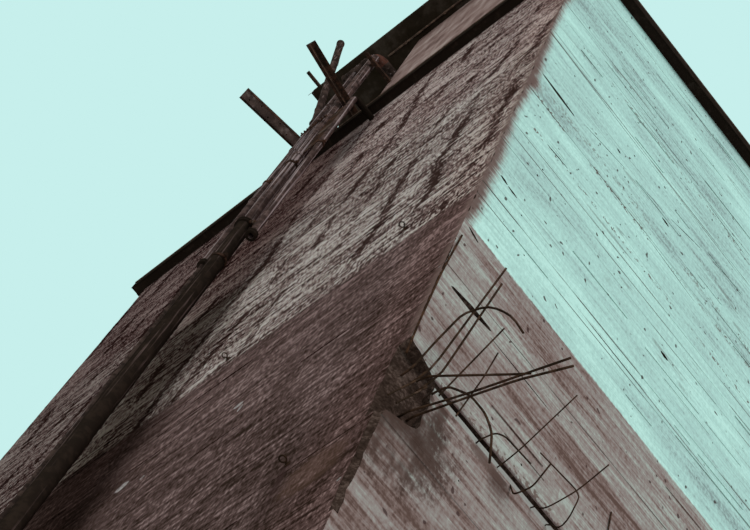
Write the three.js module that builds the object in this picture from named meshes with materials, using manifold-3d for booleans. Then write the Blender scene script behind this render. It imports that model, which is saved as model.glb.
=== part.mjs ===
// Square concrete water tower with a small roof house, riser pipes up its front,
// cantilevered steel stubs at the top and the bent bars of a slab that was taken away.
// Millimetres, +Z up. The origin is the centre of the footprint, at ground level.
// The front wall faces -Y and the right wall faces +X.
import * as THREE from "three";
import { mergeVertices } from "three/addons/utils/BufferGeometryUtils.js";
import Module from "manifold-3d";

const wasm = await Module();
wasm.setup();

// Driving dimensions
const WIDE = 7800;
const DEEP = 8000;
const RIGHT = WIDE / 2;
const LEFT = -RIGHT;
const FRONT = -DEEP / 2;
const BACK = DEEP / 2;
const WALL = 350;
const LIFT_JOINT = 13100;
const WALL_TOP = 22500;
const FLOOR_SLAB = 300;
const GAP = 0.3;

const ROOF_SLAB = 180;
const EDGE_OUT = 130;
const EDGE_OUT_LEFT = 170;
const EDGE_HIGH = 200;

// The broken corner and the scar of the slab that was cut off the right wall
const POCKET_LOW = 10400;
const POCKET_HIGH = 11080;
const POCKET_DEEP = 120;
const SCAR_LOW = 10850;
const SCAR_HIGH = 10980;
const SCAR_DEEP = 35;

// The house on the roof
const HOUSE_LEFT = RIGHT - 3800;
const HOUSE_RIGHT = RIGHT - 1300;
const HOUSE_BACK = -700;
const HOUSE_WALL = 250;
const HOUSE_TOP = 27050;
const CANOPY_LEFT = RIGHT - 5768;
const CANOPY_OUT = 385;
const CANOPY_THICK = 200;
const CANOPY_ARM = { x: RIGHT - 5590, long: 300, wide: 50, high: 40 };

// Riser pipes in front of the wall
const PIPE_Y = FRONT - 350;
const RISER_A = { x: RIGHT - 4315, radius: 45 };
const RISER_B = { x: RIGHT - 3912, radius: 70 };
const OVERFLOW = { x: RIGHT - 3440, radius: 43 };
const FEED_RADIUS = 30;
const JACKET_RADIUS = 88;
const COLLAR_RADIUS = 108;
const COLLAR_HIGH = 90;
const COLLAR_A_Z = 17700;
const COLLAR_B_Z = 18250;
const COLLAR_LIP = 20;
const OVERFLOW_FOOT = 17300;
const OVERFLOW_TOP = 22250;
const OVERFLOW_BORE = 34;
const BORE_DEEP = 250;
const HEADER_Z = 25250;
const HEADER_RADIUS = 80;
const HEADER_LEFT = RIGHT - 4520;
const HEADER_RIGHT = HOUSE_LEFT - HEADER_RADIUS - GAP;
const HEADER_BACK = FRONT + 500;
const HEADER_BEND = 160;
const TOP_BRACKET_Z = 24620;
const TOP_BRACKET_LONG = 530;
const PIPE_SIDES = 20;
const BRACKET_HEIGHTS = [1500, 5200, 8900];
const BRACKET_BAR = 50;
const BRACKET_HIGH = 60;

// Steel stubs at roof level
const SECTION_THICK = 10;
const CHANNEL_WIDE = 170;
const CHANNEL_DEEP = 65;
const CHANNEL_X = RIGHT - 4570;
const CHANNEL_ROOT_Y = FRONT + 500;
const CHANNEL_LONG = 1790;
const CHANNEL_TURN = -7.7;
const TEE_WIDE = 145;
const TEE_DEEP = 75;
const TEE_X = RIGHT - 3815;
const TEE_ROOT_Y = FRONT - 12;
const TEE_LONG = 1240;
const TEE_TURN = 8.6;
const VENT_RADIUS = 55;
const VENT_X = RISER_A.x - RISER_A.radius - VENT_RADIUS - GAP;
const VENT_ROUTE = [[VENT_X, PIPE_Y, 22950], [VENT_X, PIPE_Y, 23100], [VENT_X, PIPE_Y - 440, 25850]];

// Eye bolts in the front wall: from the right-hand corner, and up
const EYE_BOLTS = [[864, 14353], [2853, 14230], [756, 10239]];
const EYE_RING = 24;
const EYE_WIRE = 5.5;
const EYE_OUT = 20;

// Bars of the slab that was cut off, each from its root in the right wall to its free end.
// A point is how far out of the right wall, how far along it from the near corner, and its height
const THICK_BAR = 8;
const THIN_BAR = 5;
const BAR_BEND = 60;
const STEPS_PER_STRETCH = 4;
const POCKET_ROOT = 0.8 - POCKET_DEEP;
const SCAR_ROOT = 0.8 - SCAR_DEEP;
const SLAB_BARS = [
  [THICK_BAR, [POCKET_ROOT, 170, 10840], [0, 170, 10840], [60, 200, 10990], [450, 200, 12040]],
  [THICK_BAR, [POCKET_ROOT, 230, 10820], [-10, 230, 10820], [60, 270, 11000], [420, 230, 11870]],
  [THICK_BAR, [POCKET_ROOT, 100, 10860], [-10, 100, 10860], [80, 130, 11190],
    [250, 140, 11440], [400, 210, 11500], [480, 340, 11490], [500, 460, 11400]],
  [THICK_BAR, [POCKET_ROOT, 200, 10910], [0, 200, 10910], [600, 440, 10650], [650, 490, 10690]],
  [THICK_BAR, [POCKET_ROOT, 190, 10440], [-40, 190, 10440], [400, 300, 10400], [1100, 380, 10170]],
  [THICK_BAR, [POCKET_ROOT, 250, 10480], [-40, 250, 10480], [450, 310, 10340],
    [750, 340, 10230], [1150, 370, 9990]],
  [THICK_BAR, [POCKET_ROOT, 300, 10830], [20, 300, 10830], [120, 310, 10820], [250, 400, 10700],
    [330, 490, 10520], [360, 560, 10350], [300, 650, 10180]],
  [THIN_BAR, [SCAR_ROOT, 940, 10870], [20, 940, 10870], [150, 950, 10950], [550, 970, 11310]],
  [THIN_BAR, [SCAR_ROOT, 1430, 10865], [20, 1430, 10865], [100, 1460, 10770], [200, 1430, 10760],
    [270, 1420, 10950], [250, 1390, 11020], [60, 1200, 11400]],
  [THIN_BAR, [SCAR_ROOT, 1280, 10865], [20, 1280, 10865], [100, 1290, 10770], [200, 1270, 10690],
    [380, 1290, 10730], [600, 1300, 10850]],
];
const ROD_OUT = THICK_BAR + GAP;
const CORNER_ROD = [[ROD_OUT, 12, 10920], [ROD_OUT, 4, 11350], [ROD_OUT, 4, 12200], [ROD_OUT, 32, 12960]];

const group = new THREE.Group();
group.name = "water_tower";

function material(color, roughness, metalness) {
  return new THREE.MeshStandardMaterial({ color, roughness, metalness });
}

const lowerConcrete = material(0x6f5f5c, 0.95, 0);
const upperConcrete = material(0x9fb3ab, 0.92, 0);
const roofConcrete = material(0x57504c, 0.95, 0);
const edgeSteel = material(0x2a2320, 0.8, 0.4);
const pipeSteel = material(0x5b4a4b, 0.6, 0.6);
const jacketSteel = material(0x2f2727, 0.75, 0.4);
const beamSteel = material(0x3a2f2d, 0.7, 0.6);
const barSteel = material(0x3b2823, 0.85, 0.5);

function put(name, geometry, surface) {
  const mesh = new THREE.Mesh(geometry, surface.clone());
  mesh.name = name;
  group.add(mesh);
  return mesh;
}

// A box given by its low and high corner
function block(low, high) {
  const size = high.map((value, i) => value - low[i]);
  const shape = new THREE.BoxGeometry(...size);
  shape.translate(...low.map((value, i) => value + size[i] / 2));
  return shape;
}

function toSolid(geometry) {
  const bare = geometry.clone();
  bare.deleteAttribute("normal");
  bare.deleteAttribute("uv");
  const merged = mergeVertices(bare, 1e-3);
  return new wasm.Manifold(new wasm.Mesh({
    numProp: 3,
    vertProperties: new Float32Array(merged.attributes.position.array),
    triVerts: new Uint32Array(merged.index.array),
  }));
}

function toGeometry(solid) {
  const mesh = solid.getMesh();
  const geometry = new THREE.BufferGeometry();
  geometry.setAttribute("position", new THREE.BufferAttribute(mesh.vertProperties, 3));
  geometry.setIndex(new THREE.BufferAttribute(mesh.triVerts, 1));
  geometry.computeVertexNormals();
  return geometry;
}

function cut(body, ...tools) {
  return toGeometry(tools.reduce((rest, tool) => rest.subtract(toSolid(tool)), toSolid(body)));
}

function join(first, ...others) {
  return toGeometry(others.reduce((sum, other) => sum.add(toSolid(other)), toSolid(first)));
}

// A route of straight stretches with its corners rounded
function bentRoute(points, round) {
  const corners = points.map((point) => new THREE.Vector3(...point));
  const route = new THREE.CurvePath();
  let from = corners[0];
  for (let i = 1; i < corners.length - 1; i += 1) {
    const corner = corners[i];
    const before = corner.clone().sub(corners[i - 1]);
    const after = corners[i + 1].clone().sub(corner);
    const reach = Math.min(round, before.length() * 0.45, after.length() * 0.45);
    const start = corner.clone().addScaledVector(before.normalize(), -reach);
    const end = corner.clone().addScaledVector(after.normalize(), reach);
    route.add(new THREE.LineCurve3(from, start));
    route.add(new THREE.QuadraticBezierCurve3(start, corner, end));
    from = end;
  }
  route.add(new THREE.LineCurve3(from, corners[corners.length - 1]));
  return route;
}

// A closed round bar of the given radius along a route
function roundBar(points, radius, sides = 8, bend = BAR_BEND) {
  const circle = new THREE.EllipseCurve(0, 0, radius, radius);
  const ring = new THREE.Shape(circle.getPoints(sides).slice(0, sides));
  const steps = points.length > 2 ? (points.length - 1) * STEPS_PER_STRETCH : 1;
  const extrudePath = bentRoute(points, bend);
  return new THREE.ExtrudeGeometry(ring, { steps, bevelEnabled: false, extrudePath });
}

// An upright cylinder between two heights
function upright(x, y, radius, low, high, sides = PIPE_SIDES) {
  const shape = new THREE.CylinderGeometry(radius, radius, high - low, sides);
  shape.rotateX(Math.PI / 2);
  shape.translate(x, y, (low + high) / 2);
  return shape;
}

// Four walls round the shaft: front and back run the full width, the sides stand between them
function shaftWalls(prefix, low, high, surface, frontCuts = [], rightCuts = []) {
  const sideFront = FRONT + WALL + GAP;
  const sideBack = BACK - WALL - GAP;
  const front = block([LEFT, FRONT, low], [RIGHT, FRONT + WALL, high]);
  const right = block([RIGHT - WALL, sideFront, low], [RIGHT, sideBack, high]);
  put(`${prefix}_front_wall`, frontCuts.length ? cut(front, ...frontCuts) : front, surface);
  put(`${prefix}_right_wall`, rightCuts.length ? cut(right, ...rightCuts) : right, surface);
  put(`${prefix}_back_wall`, block([LEFT, BACK - WALL, low], [RIGHT, BACK, high]), surface);
  put(`${prefix}_left_wall`, block([LEFT, sideFront, low], [LEFT + WALL, sideBack, high]), surface);
}

function shaft() {
  const reach = 10;
  const pocket = block([RIGHT - POCKET_DEEP, FRONT - reach, POCKET_LOW],
    [RIGHT + reach, FRONT + WALL + reach, POCKET_HIGH]);
  const scar = block([RIGHT - SCAR_DEEP, FRONT, SCAR_LOW], [RIGHT + reach, BACK, SCAR_HIGH]);
  shaftWalls("lower", 0, LIFT_JOINT, lowerConcrete, [pocket], [scar]);
  shaftWalls("upper", LIFT_JOINT + GAP, WALL_TOP, upperConcrete);
  const inset = WALL + GAP;
  put("ground_slab",
    block([LEFT + inset, FRONT + inset, 0], [RIGHT - inset, BACK - inset, FLOOR_SLAB]), roofConcrete);
}

// The roof slab with its steel edge strips, which stand out further on the left
function roof() {
  const low = WALL_TOP + GAP;
  const high = low + EDGE_HIGH;
  const out = EDGE_OUT;
  const left = LEFT - EDGE_OUT_LEFT;
  put("roof_slab", block([LEFT, FRONT, low], [RIGHT, BACK, low + ROOF_SLAB]), roofConcrete);
  put("front_roof_edge", block([left, FRONT - out, low], [RIGHT + out, FRONT - GAP, high]), edgeSteel);
  put("right_roof_edge", block([RIGHT + GAP, FRONT, low], [RIGHT + out, BACK, high]), edgeSteel);
  put("back_roof_edge", block([left, BACK + GAP, low], [RIGHT + out, BACK + out, high]), edgeSteel);
  put("left_roof_edge", block([left, FRONT, low], [LEFT - GAP, BACK, high]), edgeSteel);
}

// The house on the roof; its roof runs on as a canopy over the pipes and carries a short arm
function house() {
  const low = WALL_TOP + ROOF_SLAB + 2 * GAP;
  const front = FRONT;
  const inLeft = HOUSE_LEFT + HOUSE_WALL;
  const inRight = HOUSE_RIGHT - HOUSE_WALL;
  const inFront = front + HOUSE_WALL;
  const inBack = HOUSE_BACK - HOUSE_WALL;
  put("house_front_wall",
    block([HOUSE_LEFT, front, low], [HOUSE_RIGHT, inFront, HOUSE_TOP]), upperConcrete);
  put("house_back_wall",
    block([HOUSE_LEFT, inBack, low], [HOUSE_RIGHT, HOUSE_BACK, HOUSE_TOP]), upperConcrete);
  put("house_left_wall",
    block([HOUSE_LEFT, inFront + GAP, low], [inLeft, inBack - GAP, HOUSE_TOP]), upperConcrete);
  put("house_right_wall",
    block([inRight, inFront + GAP, low], [HOUSE_RIGHT, inBack - GAP, HOUSE_TOP]), upperConcrete);
  const canopyLow = HOUSE_TOP + GAP;
  put("house_roof", block([CANOPY_LEFT, front - CANOPY_OUT, canopyLow],
    [HOUSE_RIGHT + CANOPY_OUT, HOUSE_BACK + CANOPY_OUT, canopyLow + CANOPY_THICK]), edgeSteel);
  const { x, long, wide, high } = CANOPY_ARM;
  const armRoot = front - CANOPY_OUT - GAP;
  put("canopy_arm", block([x - wide / 2, armRoot - long, canopyLow],
    [x + wide / 2, armRoot, canopyLow + high]), beamSteel);
}

// Riser pipes: A widens above its collar, B is jacketed below its collar, and the overflow
// comes out of the wall under the roof and ends open in the air
function pipes() {
  const { x: ax, radius: ar } = RISER_A;
  const { x: bx, radius: br } = RISER_B;
  const { x: cx, radius: cr } = OVERFLOW;
  const headerUnder = HEADER_Z - HEADER_RADIUS - GAP;
  put("feed_pipe", upright(ax, PIPE_Y, FEED_RADIUS, 0, COLLAR_A_Z - GAP, 12), jacketSteel);
  put("riser_a", join(
    upright(ax, PIPE_Y, ar + COLLAR_LIP, COLLAR_A_Z, COLLAR_A_Z + COLLAR_HIGH),
    upright(ax, PIPE_Y, ar, COLLAR_A_Z, headerUnder)), pipeSteel);
  put("jacketed_pipe", upright(bx, PIPE_Y, JACKET_RADIUS, 0, COLLAR_B_Z - GAP), jacketSteel);
  put("riser_b", join(
    upright(bx, PIPE_Y, COLLAR_RADIUS, COLLAR_B_Z, COLLAR_B_Z + COLLAR_HIGH),
    upright(bx, PIPE_Y, br, COLLAR_B_Z, headerUnder)), pipeSteel);
  const fall = [[cx, PIPE_Y, OVERFLOW_FOOT], [cx, PIPE_Y, OVERFLOW_TOP], [cx, FRONT - GAP, OVERFLOW_TOP]];
  const flange = upright(cx, PIPE_Y, cr + COLLAR_LIP, OVERFLOW_FOOT, OVERFLOW_FOOT + COLLAR_HIGH);
  const bore = upright(cx, PIPE_Y, OVERFLOW_BORE, OVERFLOW_FOOT - 1, OVERFLOW_FOOT + BORE_DEEP);
  put("overflow_pipe", cut(join(roundBar(fall, cr, PIPE_SIDES), flange), bore), pipeSteel);
}

// The header pipe on top of the risers: it turns back beside the house and down into the roof.
// A bracket holds riser B to the house.
function header() {
  const roofTop = WALL_TOP + ROOF_SLAB + 2 * GAP;
  const route = [
    [HEADER_LEFT, PIPE_Y, HEADER_Z], [HEADER_RIGHT, PIPE_Y, HEADER_Z],
    [HEADER_RIGHT, HEADER_BACK, HEADER_Z], [HEADER_RIGHT, HEADER_BACK, roofTop],
  ];
  put("header_pipe", roundBar(route, HEADER_RADIUS, PIPE_SIDES, HEADER_BEND), pipeSteel);
  const low = TOP_BRACKET_Z;
  const high = low + BRACKET_HIGH;
  const half = BRACKET_BAR / 2;
  const bar = block([HOUSE_LEFT, FRONT - TOP_BRACKET_LONG, low],
    [HOUSE_LEFT + BRACKET_BAR, FRONT - GAP, high]);
  const saddle = block([RISER_B.x + RISER_B.radius + GAP, PIPE_Y - half, low],
    [HOUSE_LEFT + half, PIPE_Y + half, high]);
  put("top_bracket", join(bar, saddle), beamSteel);
}

// One bracket: a rail behind the pipes on two arms from the wall, with a pad up to each pipe
function bracket(name, z, pads) {
  const railFront = PIPE_Y + JACKET_RADIUS + 40;
  const railBack = railFront + BRACKET_BAR;
  const high = z + BRACKET_HIGH;
  const left = pads[0].x - 2 * BRACKET_BAR;
  const right = pads[pads.length - 1].x + 2 * BRACKET_BAR;
  const parts = [block([left, railFront, z], [right, railBack, high])];
  for (const x of [left + 2 * BRACKET_BAR, right - 3 * BRACKET_BAR]) {
    parts.push(block([x, railFront + 10, z], [x + BRACKET_BAR, FRONT - GAP, high]));
  }
  for (const { x, radius } of pads) {
    parts.push(block([x - BRACKET_BAR / 2, PIPE_Y + radius + GAP, z],
      [x + BRACKET_BAR / 2, railFront + 10, high]));
  }
  put(name, join(...parts), beamSteel);
}

function brackets() {
  const pads = [{ x: RISER_A.x, radius: FEED_RADIUS }, { x: RISER_B.x, radius: JACKET_RADIUS }];
  BRACKET_HEIGHTS.forEach((z, i) => bracket(`pipe_bracket_${i + 1}`, z, pads));
}

// A beam section, its top at height zero, pushed out along -Y from its root and turned about it
function beam(outline, root, length, turn) {
  const shape = new THREE.Shape(outline.map(([x, z]) => new THREE.Vector2(x, z)));
  const solid = new THREE.ExtrudeGeometry(shape, { depth: length, bevelEnabled: false });
  solid.rotateX(Math.PI / 2);
  solid.rotateZ(THREE.MathUtils.degToRad(turn));
  solid.translate(...root);
  return solid;
}

// The steel stubs that stick out at roof level, and the leaning vent
function roofSteel() {
  const seat = WALL_TOP + EDGE_HIGH + 2 * GAP;
  const half = CHANNEL_WIDE / 2;
  const t = SECTION_THICK;
  const channel = [
    [-half, 0], [-half + t, 0], [-half + t, CHANNEL_DEEP - t], [half - t, CHANNEL_DEEP - t],
    [half - t, 0], [half, 0], [half, CHANNEL_DEEP], [-half, CHANNEL_DEEP],
  ];
  const channelRoot = [CHANNEL_X, CHANNEL_ROOT_Y, seat];
  put("channel_stub", beam(channel, channelRoot, CHANNEL_LONG, CHANNEL_TURN), beamSteel);
  const wide = TEE_WIDE / 2;
  const tee = [
    [-t / 2, 0], [t / 2, 0], [t / 2, TEE_DEEP - t], [wide, TEE_DEEP - t],
    [wide, TEE_DEEP], [-wide, TEE_DEEP], [-wide, TEE_DEEP - t], [-t / 2, TEE_DEEP - t],
  ];
  put("tee_stub", beam(tee, [TEE_X, TEE_ROOT_Y, seat], TEE_LONG, TEE_TURN), beamSteel);
  put("vent_pipe", roundBar(VENT_ROUTE, VENT_RADIUS, 16), pipeSteel);
}

// An eye bolt: a level ring on a shank that comes out of the front wall
function eyeBolt(name, fromCorner, z) {
  const x = RIGHT - fromCorner;
  const ring = new THREE.TorusGeometry(EYE_RING, EYE_WIRE, 8, 20);
  ring.translate(x, FRONT - EYE_OUT - EYE_RING, z);
  const shank = new THREE.CylinderGeometry(EYE_WIRE, EYE_WIRE, EYE_OUT, 8);
  shank.translate(x, FRONT - GAP - EYE_OUT / 2, z);
  put(name, join(ring, shank), barSteel);
}

function slabBars() {
  const place = ([out, along, z]) => [RIGHT + out, FRONT + along, z];
  SLAB_BARS.forEach(([radius, ...points], i) => {
    put(`slab_bar_${i + 1}`, roundBar(points.map(place), radius), barSteel);
  });
  put("corner_rod", roundBar(CORNER_ROD.map(place), THICK_BAR), barSteel);
}

shaft();
roof();
house();
pipes();
header();
brackets();
roofSteel();
EYE_BOLTS.forEach(([x, z], i) => eyeBolt(`eye_bolt_${i + 1}`, x, z));
slabBars();

export default group;
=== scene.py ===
# %% [markdown]
# # A square concrete water tower, dressed over its fixed frame
# The solids of the tower are loaded first and never moved. This lesson gives every
# one of them a finish, and models the things that are too fine for the solids: board
# joints, grout fins, the broken corner, flanges, clamps, bolts and loose wires.

# %% Load the frame
import bisect
import bmesh
import bpy
import math
import random
from mathutils import Matrix, Vector, noise


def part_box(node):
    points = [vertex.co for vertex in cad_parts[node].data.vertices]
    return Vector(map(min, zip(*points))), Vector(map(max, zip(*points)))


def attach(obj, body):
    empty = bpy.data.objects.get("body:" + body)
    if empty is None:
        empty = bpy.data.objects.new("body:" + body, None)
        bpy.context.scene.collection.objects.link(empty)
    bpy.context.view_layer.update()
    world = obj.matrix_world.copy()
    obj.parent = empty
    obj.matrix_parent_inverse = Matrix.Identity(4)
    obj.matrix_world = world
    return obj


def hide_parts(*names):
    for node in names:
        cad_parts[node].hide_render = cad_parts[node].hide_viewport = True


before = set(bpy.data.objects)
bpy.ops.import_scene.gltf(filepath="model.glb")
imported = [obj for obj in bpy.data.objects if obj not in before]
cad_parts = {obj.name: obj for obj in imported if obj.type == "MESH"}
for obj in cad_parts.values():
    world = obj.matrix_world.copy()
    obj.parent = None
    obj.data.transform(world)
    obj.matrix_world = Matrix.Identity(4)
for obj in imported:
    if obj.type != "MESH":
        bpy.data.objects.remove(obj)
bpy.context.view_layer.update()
scene = bpy.context.scene
print("nodes loaded:", len(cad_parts))

# %% [markdown]
# ## The camera
# A person stands close to the near corner and looks steeply up, so all the verticals
# lean together. The camera is placed by its eye height and its turn, and not tracked to
# a target, because the roll of the picture matters as much as its direction.

# %% Camera
EYE = Vector((8.198, -6.315, 1.6))
CAMERA_TURN = (157.339, -11.991, 40.136)
LENS_MM = 81.6
SENSOR_MM = 36.0


def link(thing):
    """Puts a new object in the scene and gives it back."""
    scene.collection.objects.link(thing)
    return thing


camera_data = bpy.data.cameras.new("viewpoint")
camera_data.lens = LENS_MM
camera_data.sensor_width = SENSOR_MM
camera = link(bpy.data.objects.new("viewpoint", camera_data))
camera.location = EYE
camera.rotation_euler = [math.radians(angle) for angle in CAMERA_TURN]
scene.camera = camera
print("camera at", tuple(EYE))

# %% [markdown]
# ## Floor and light
# The tower stands on a plain pale floor. The dome is a soft green-blue, as an overcast
# sky is. A very soft key comes from beside the right wall and only grazes the front wall,
# which keeps the quiet shade that makes its board marks read. A weak warm fill keeps that
# shade from going blue. A sun lamp with a wide angle has no hard edge to its shadow.

# %% Floor, dome and lamps
scene.view_settings.view_transform = "Standard"
FLOOR_HALF = 60.0
DOME_COLOUR = (0.571, 0.863, 0.839, 1.0)


def soft_sun(name, strength, softness, colour, height, turn):
    """A wide sun lamp that shines from a height and a turn about the tower, in degrees."""
    data = bpy.data.lights.new(name, "SUN")
    data.energy = strength
    data.angle = math.radians(softness)
    data.color = colour
    lamp = link(bpy.data.objects.new(name, data))
    high, round_z = math.radians(height), math.radians(turn)
    towards = Vector((
        math.cos(high) * math.cos(round_z), math.cos(high) * math.sin(round_z), math.sin(high)))
    lamp.rotation_euler = towards.to_track_quat("Z", "Y").to_euler()
    print(name, "shines from", tuple(round(part, 2) for part in towards))


floor_bm = bmesh.new()
bmesh.ops.create_grid(floor_bm, x_segments=1, y_segments=1, size=FLOOR_HALF)
floor_mesh = bpy.data.meshes.new("floor")
floor_bm.to_mesh(floor_mesh)
floor_bm.free()
floor = link(bpy.data.objects.new("floor", floor_mesh))

world = bpy.data.worlds.new("soft_dome")
world.use_nodes = True
world.node_tree.nodes["Background"].inputs["Color"].default_value = DOME_COLOUR
world.node_tree.nodes["Background"].inputs["Strength"].default_value = 1.0
scene.world = world
soft_sun("soft_key", strength=2.2, softness=40, colour=(1.0, 0.95, 0.93), height=38, turn=-6)
soft_sun("soft_fill", strength=0.5, softness=60, colour=(1.0, 0.72, 0.62), height=12, turn=-100)

# %% [markdown]
# ## Shader maths as expressions
# A finish mixes many masks. Written as nodes one by one, that is hard to read, so one
# small class wraps a number that changes over the surface: its operators add the Math
# nodes. Every other node comes from one method of the finish.

# %% A changing number
class Amount:
    """A number that changes over a surface. Arithmetic on it adds Math nodes."""

    def __init__(self, finish, socket):
        self.finish = finish
        self.socket = socket

    def __add__(self, other):
        return self.finish.maths("ADD", self, other)

    def __sub__(self, other):
        return self.finish.maths("SUBTRACT", self, other)

    def __rsub__(self, other):
        return self.finish.maths("SUBTRACT", other, self)

    def __mul__(self, other):
        return self.finish.maths("MULTIPLY", self, other)

    __radd__ = __add__
    __rmul__ = __mul__

    def size(self):
        """The number without its sign."""
        return self.finish.maths("ABSOLUTE", self)

    def clamped(self):
        """Keeps the number between 0 and 1."""
        raised = self.finish.maths("MAXIMUM", self, 0.0)
        return self.finish.maths("MINIMUM", raised, 1.0)


print("shader maths ready")

# %% A finish and its nodes
class Finish:
    """One procedural material, built around a Principled shader."""

    def __init__(self, name, specular=0.3):
        self.material = bpy.data.materials.new(name)
        self.material.use_nodes = True
        self.tree = self.material.node_tree
        self.shader = self.tree.nodes["Principled BSDF"]
        self.shader.inputs["Specular IOR Level"].default_value = specular
        self.place = self.node("TexCoord").outputs["Object"]
        apart = self.node("SeparateXYZ", {}, {0: self.place})
        self.x, self.y, self.z = (Amount(self, socket) for socket in apart.outputs)

    def node(self, kind, settings=None, inputs=None):
        """Adds a node: its settings first, then the values or links of its sockets."""
        made = self.tree.nodes.new("ShaderNode" + kind)
        for setting, value in (settings or {}).items():
            if setting == "stops":
                self.set_stops(made.color_ramp, value)
            else:
                setattr(made, setting, value)
        for socket, value in (inputs or {}).items():
            self.feed(made.inputs[socket], value)
        return made

    def set_stops(self, ramp, stops):
        """Gives a ramp its places and colours."""
        while len(ramp.elements) < len(stops):
            ramp.elements.new(0.5)
        for element, (position, colour) in zip(ramp.elements, stops):
            element.position = position
            element.color = (*colour, 1.0)

    def feed(self, socket, value):
        """Links an amount or a socket to a socket, or sets its plain value."""
        if isinstance(value, Amount):
            value = value.socket
        if isinstance(value, bpy.types.NodeSocket):
            self.tree.links.new(value, socket)
        elif isinstance(value, tuple) and len(value) == 3 and socket.type == "RGBA":
            socket.default_value = (*value, 1.0)
        else:
            socket.default_value = value

    def maths(self, operation, *values):
        """Adds a Math node for numbers and amounts."""
        node = self.node("Math", {"operation": operation}, dict(enumerate(values)))
        return Amount(self, node.outputs[0])

    def stretched(self, x, y, z):
        """Object coordinates, scaled by so many patterns to the metre each way."""
        node = self.node("VectorMath", {"operation": "MULTIPLY"}, {0: self.place, 1: (x, y, z)})
        return node.outputs[0]

    def noise(self, x, y, z, detail=3.0, roughness=0.55):
        """Soft noise with so many patterns to the metre each way."""
        node = self.node("TexNoise", {}, {
            "Vector": self.stretched(x, y, z), "Scale": 1.0, "Detail": detail, "Roughness": roughness})
        return Amount(self, node.outputs[0])

    def between(self, value, low, high):
        """0 below low, 1 above high, and smooth from one to the other."""
        node = self.node("MapRange", {"interpolation_type": "SMOOTHSTEP"}, {
            "Value": value, "From Min": low, "From Max": high})
        return Amount(self, node.outputs[0])

    def band(self, value, low, high, soft):
        """1 between low and high, with soft edges."""
        return self.between(value, low - soft, low + soft) * self.between(value, high + soft, high - soft)

    def ramp(self, value, stops):
        """Turns a number into a colour."""
        return self.node("ValToRGB", {"stops": stops}, {0: value}).outputs[0]

    def blend(self, factor, first, second, way="MIX"):
        """Mixes two colours. Sockets 0, 6 and 7 are the factor and the two colours."""
        node = self.node("Mix", {"data_type": "RGBA", "blend_type": way}, {0: factor, 6: first, 7: second})
        return node.outputs[2]

    def face_mark(self, name):
        """Reads a number that the mesh code stored on its faces."""
        return Amount(self, self.node("Attribute", {"attribute_name": name}).outputs["Fac"])

    def done(self, colour, roughness, height=None, deep=0.003):
        """Joins colour, roughness and relief to the shader and gives the material back."""
        self.feed(self.shader.inputs["Base Color"], colour)
        self.feed(self.shader.inputs["Roughness"], roughness)
        if height is not None:
            bump = self.node("Bump", {}, {"Strength": 1.0, "Distance": deep, "Height": height})
            self.feed(self.shader.inputs["Normal"], bump.outputs[0])
        return self.material


print("shader helpers ready")

# %% [markdown]
# ## The floor's finish
# The floor is only a stage, so it gets a nearly even pale paint with a faint mottle.

# %% Floor finish
floor_paint = Finish("pale_floor")
floor_mottle = floor_paint.noise(0.7, 0.7, 0.7)
floor.data.materials.append(floor_paint.done(
    floor_paint.ramp(floor_mottle, [(0.3, (0.66, 0.57, 0.53)), (0.7, (0.72, 0.63, 0.59))]), 0.8))
print("floor finish made")

# %% [markdown]
# ## Board-marked concrete
# The shaft was cast against rough boards. Each board leaves its own tone, long streaks
# run along it, and rain has left darker and paler zones across many boards. So a wall's
# finish is built from streak noise stretched along the boards, a tone per board read
# from the mesh, and masks that follow the height and the distance from the near corner.
# Object coordinates keep the streaks joined where one piece meets the next.

# %% Concrete and its marks
NEAR_X = 3.9
NEAR_Y = -4.0
ROW_LEAN = 0.06


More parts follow.
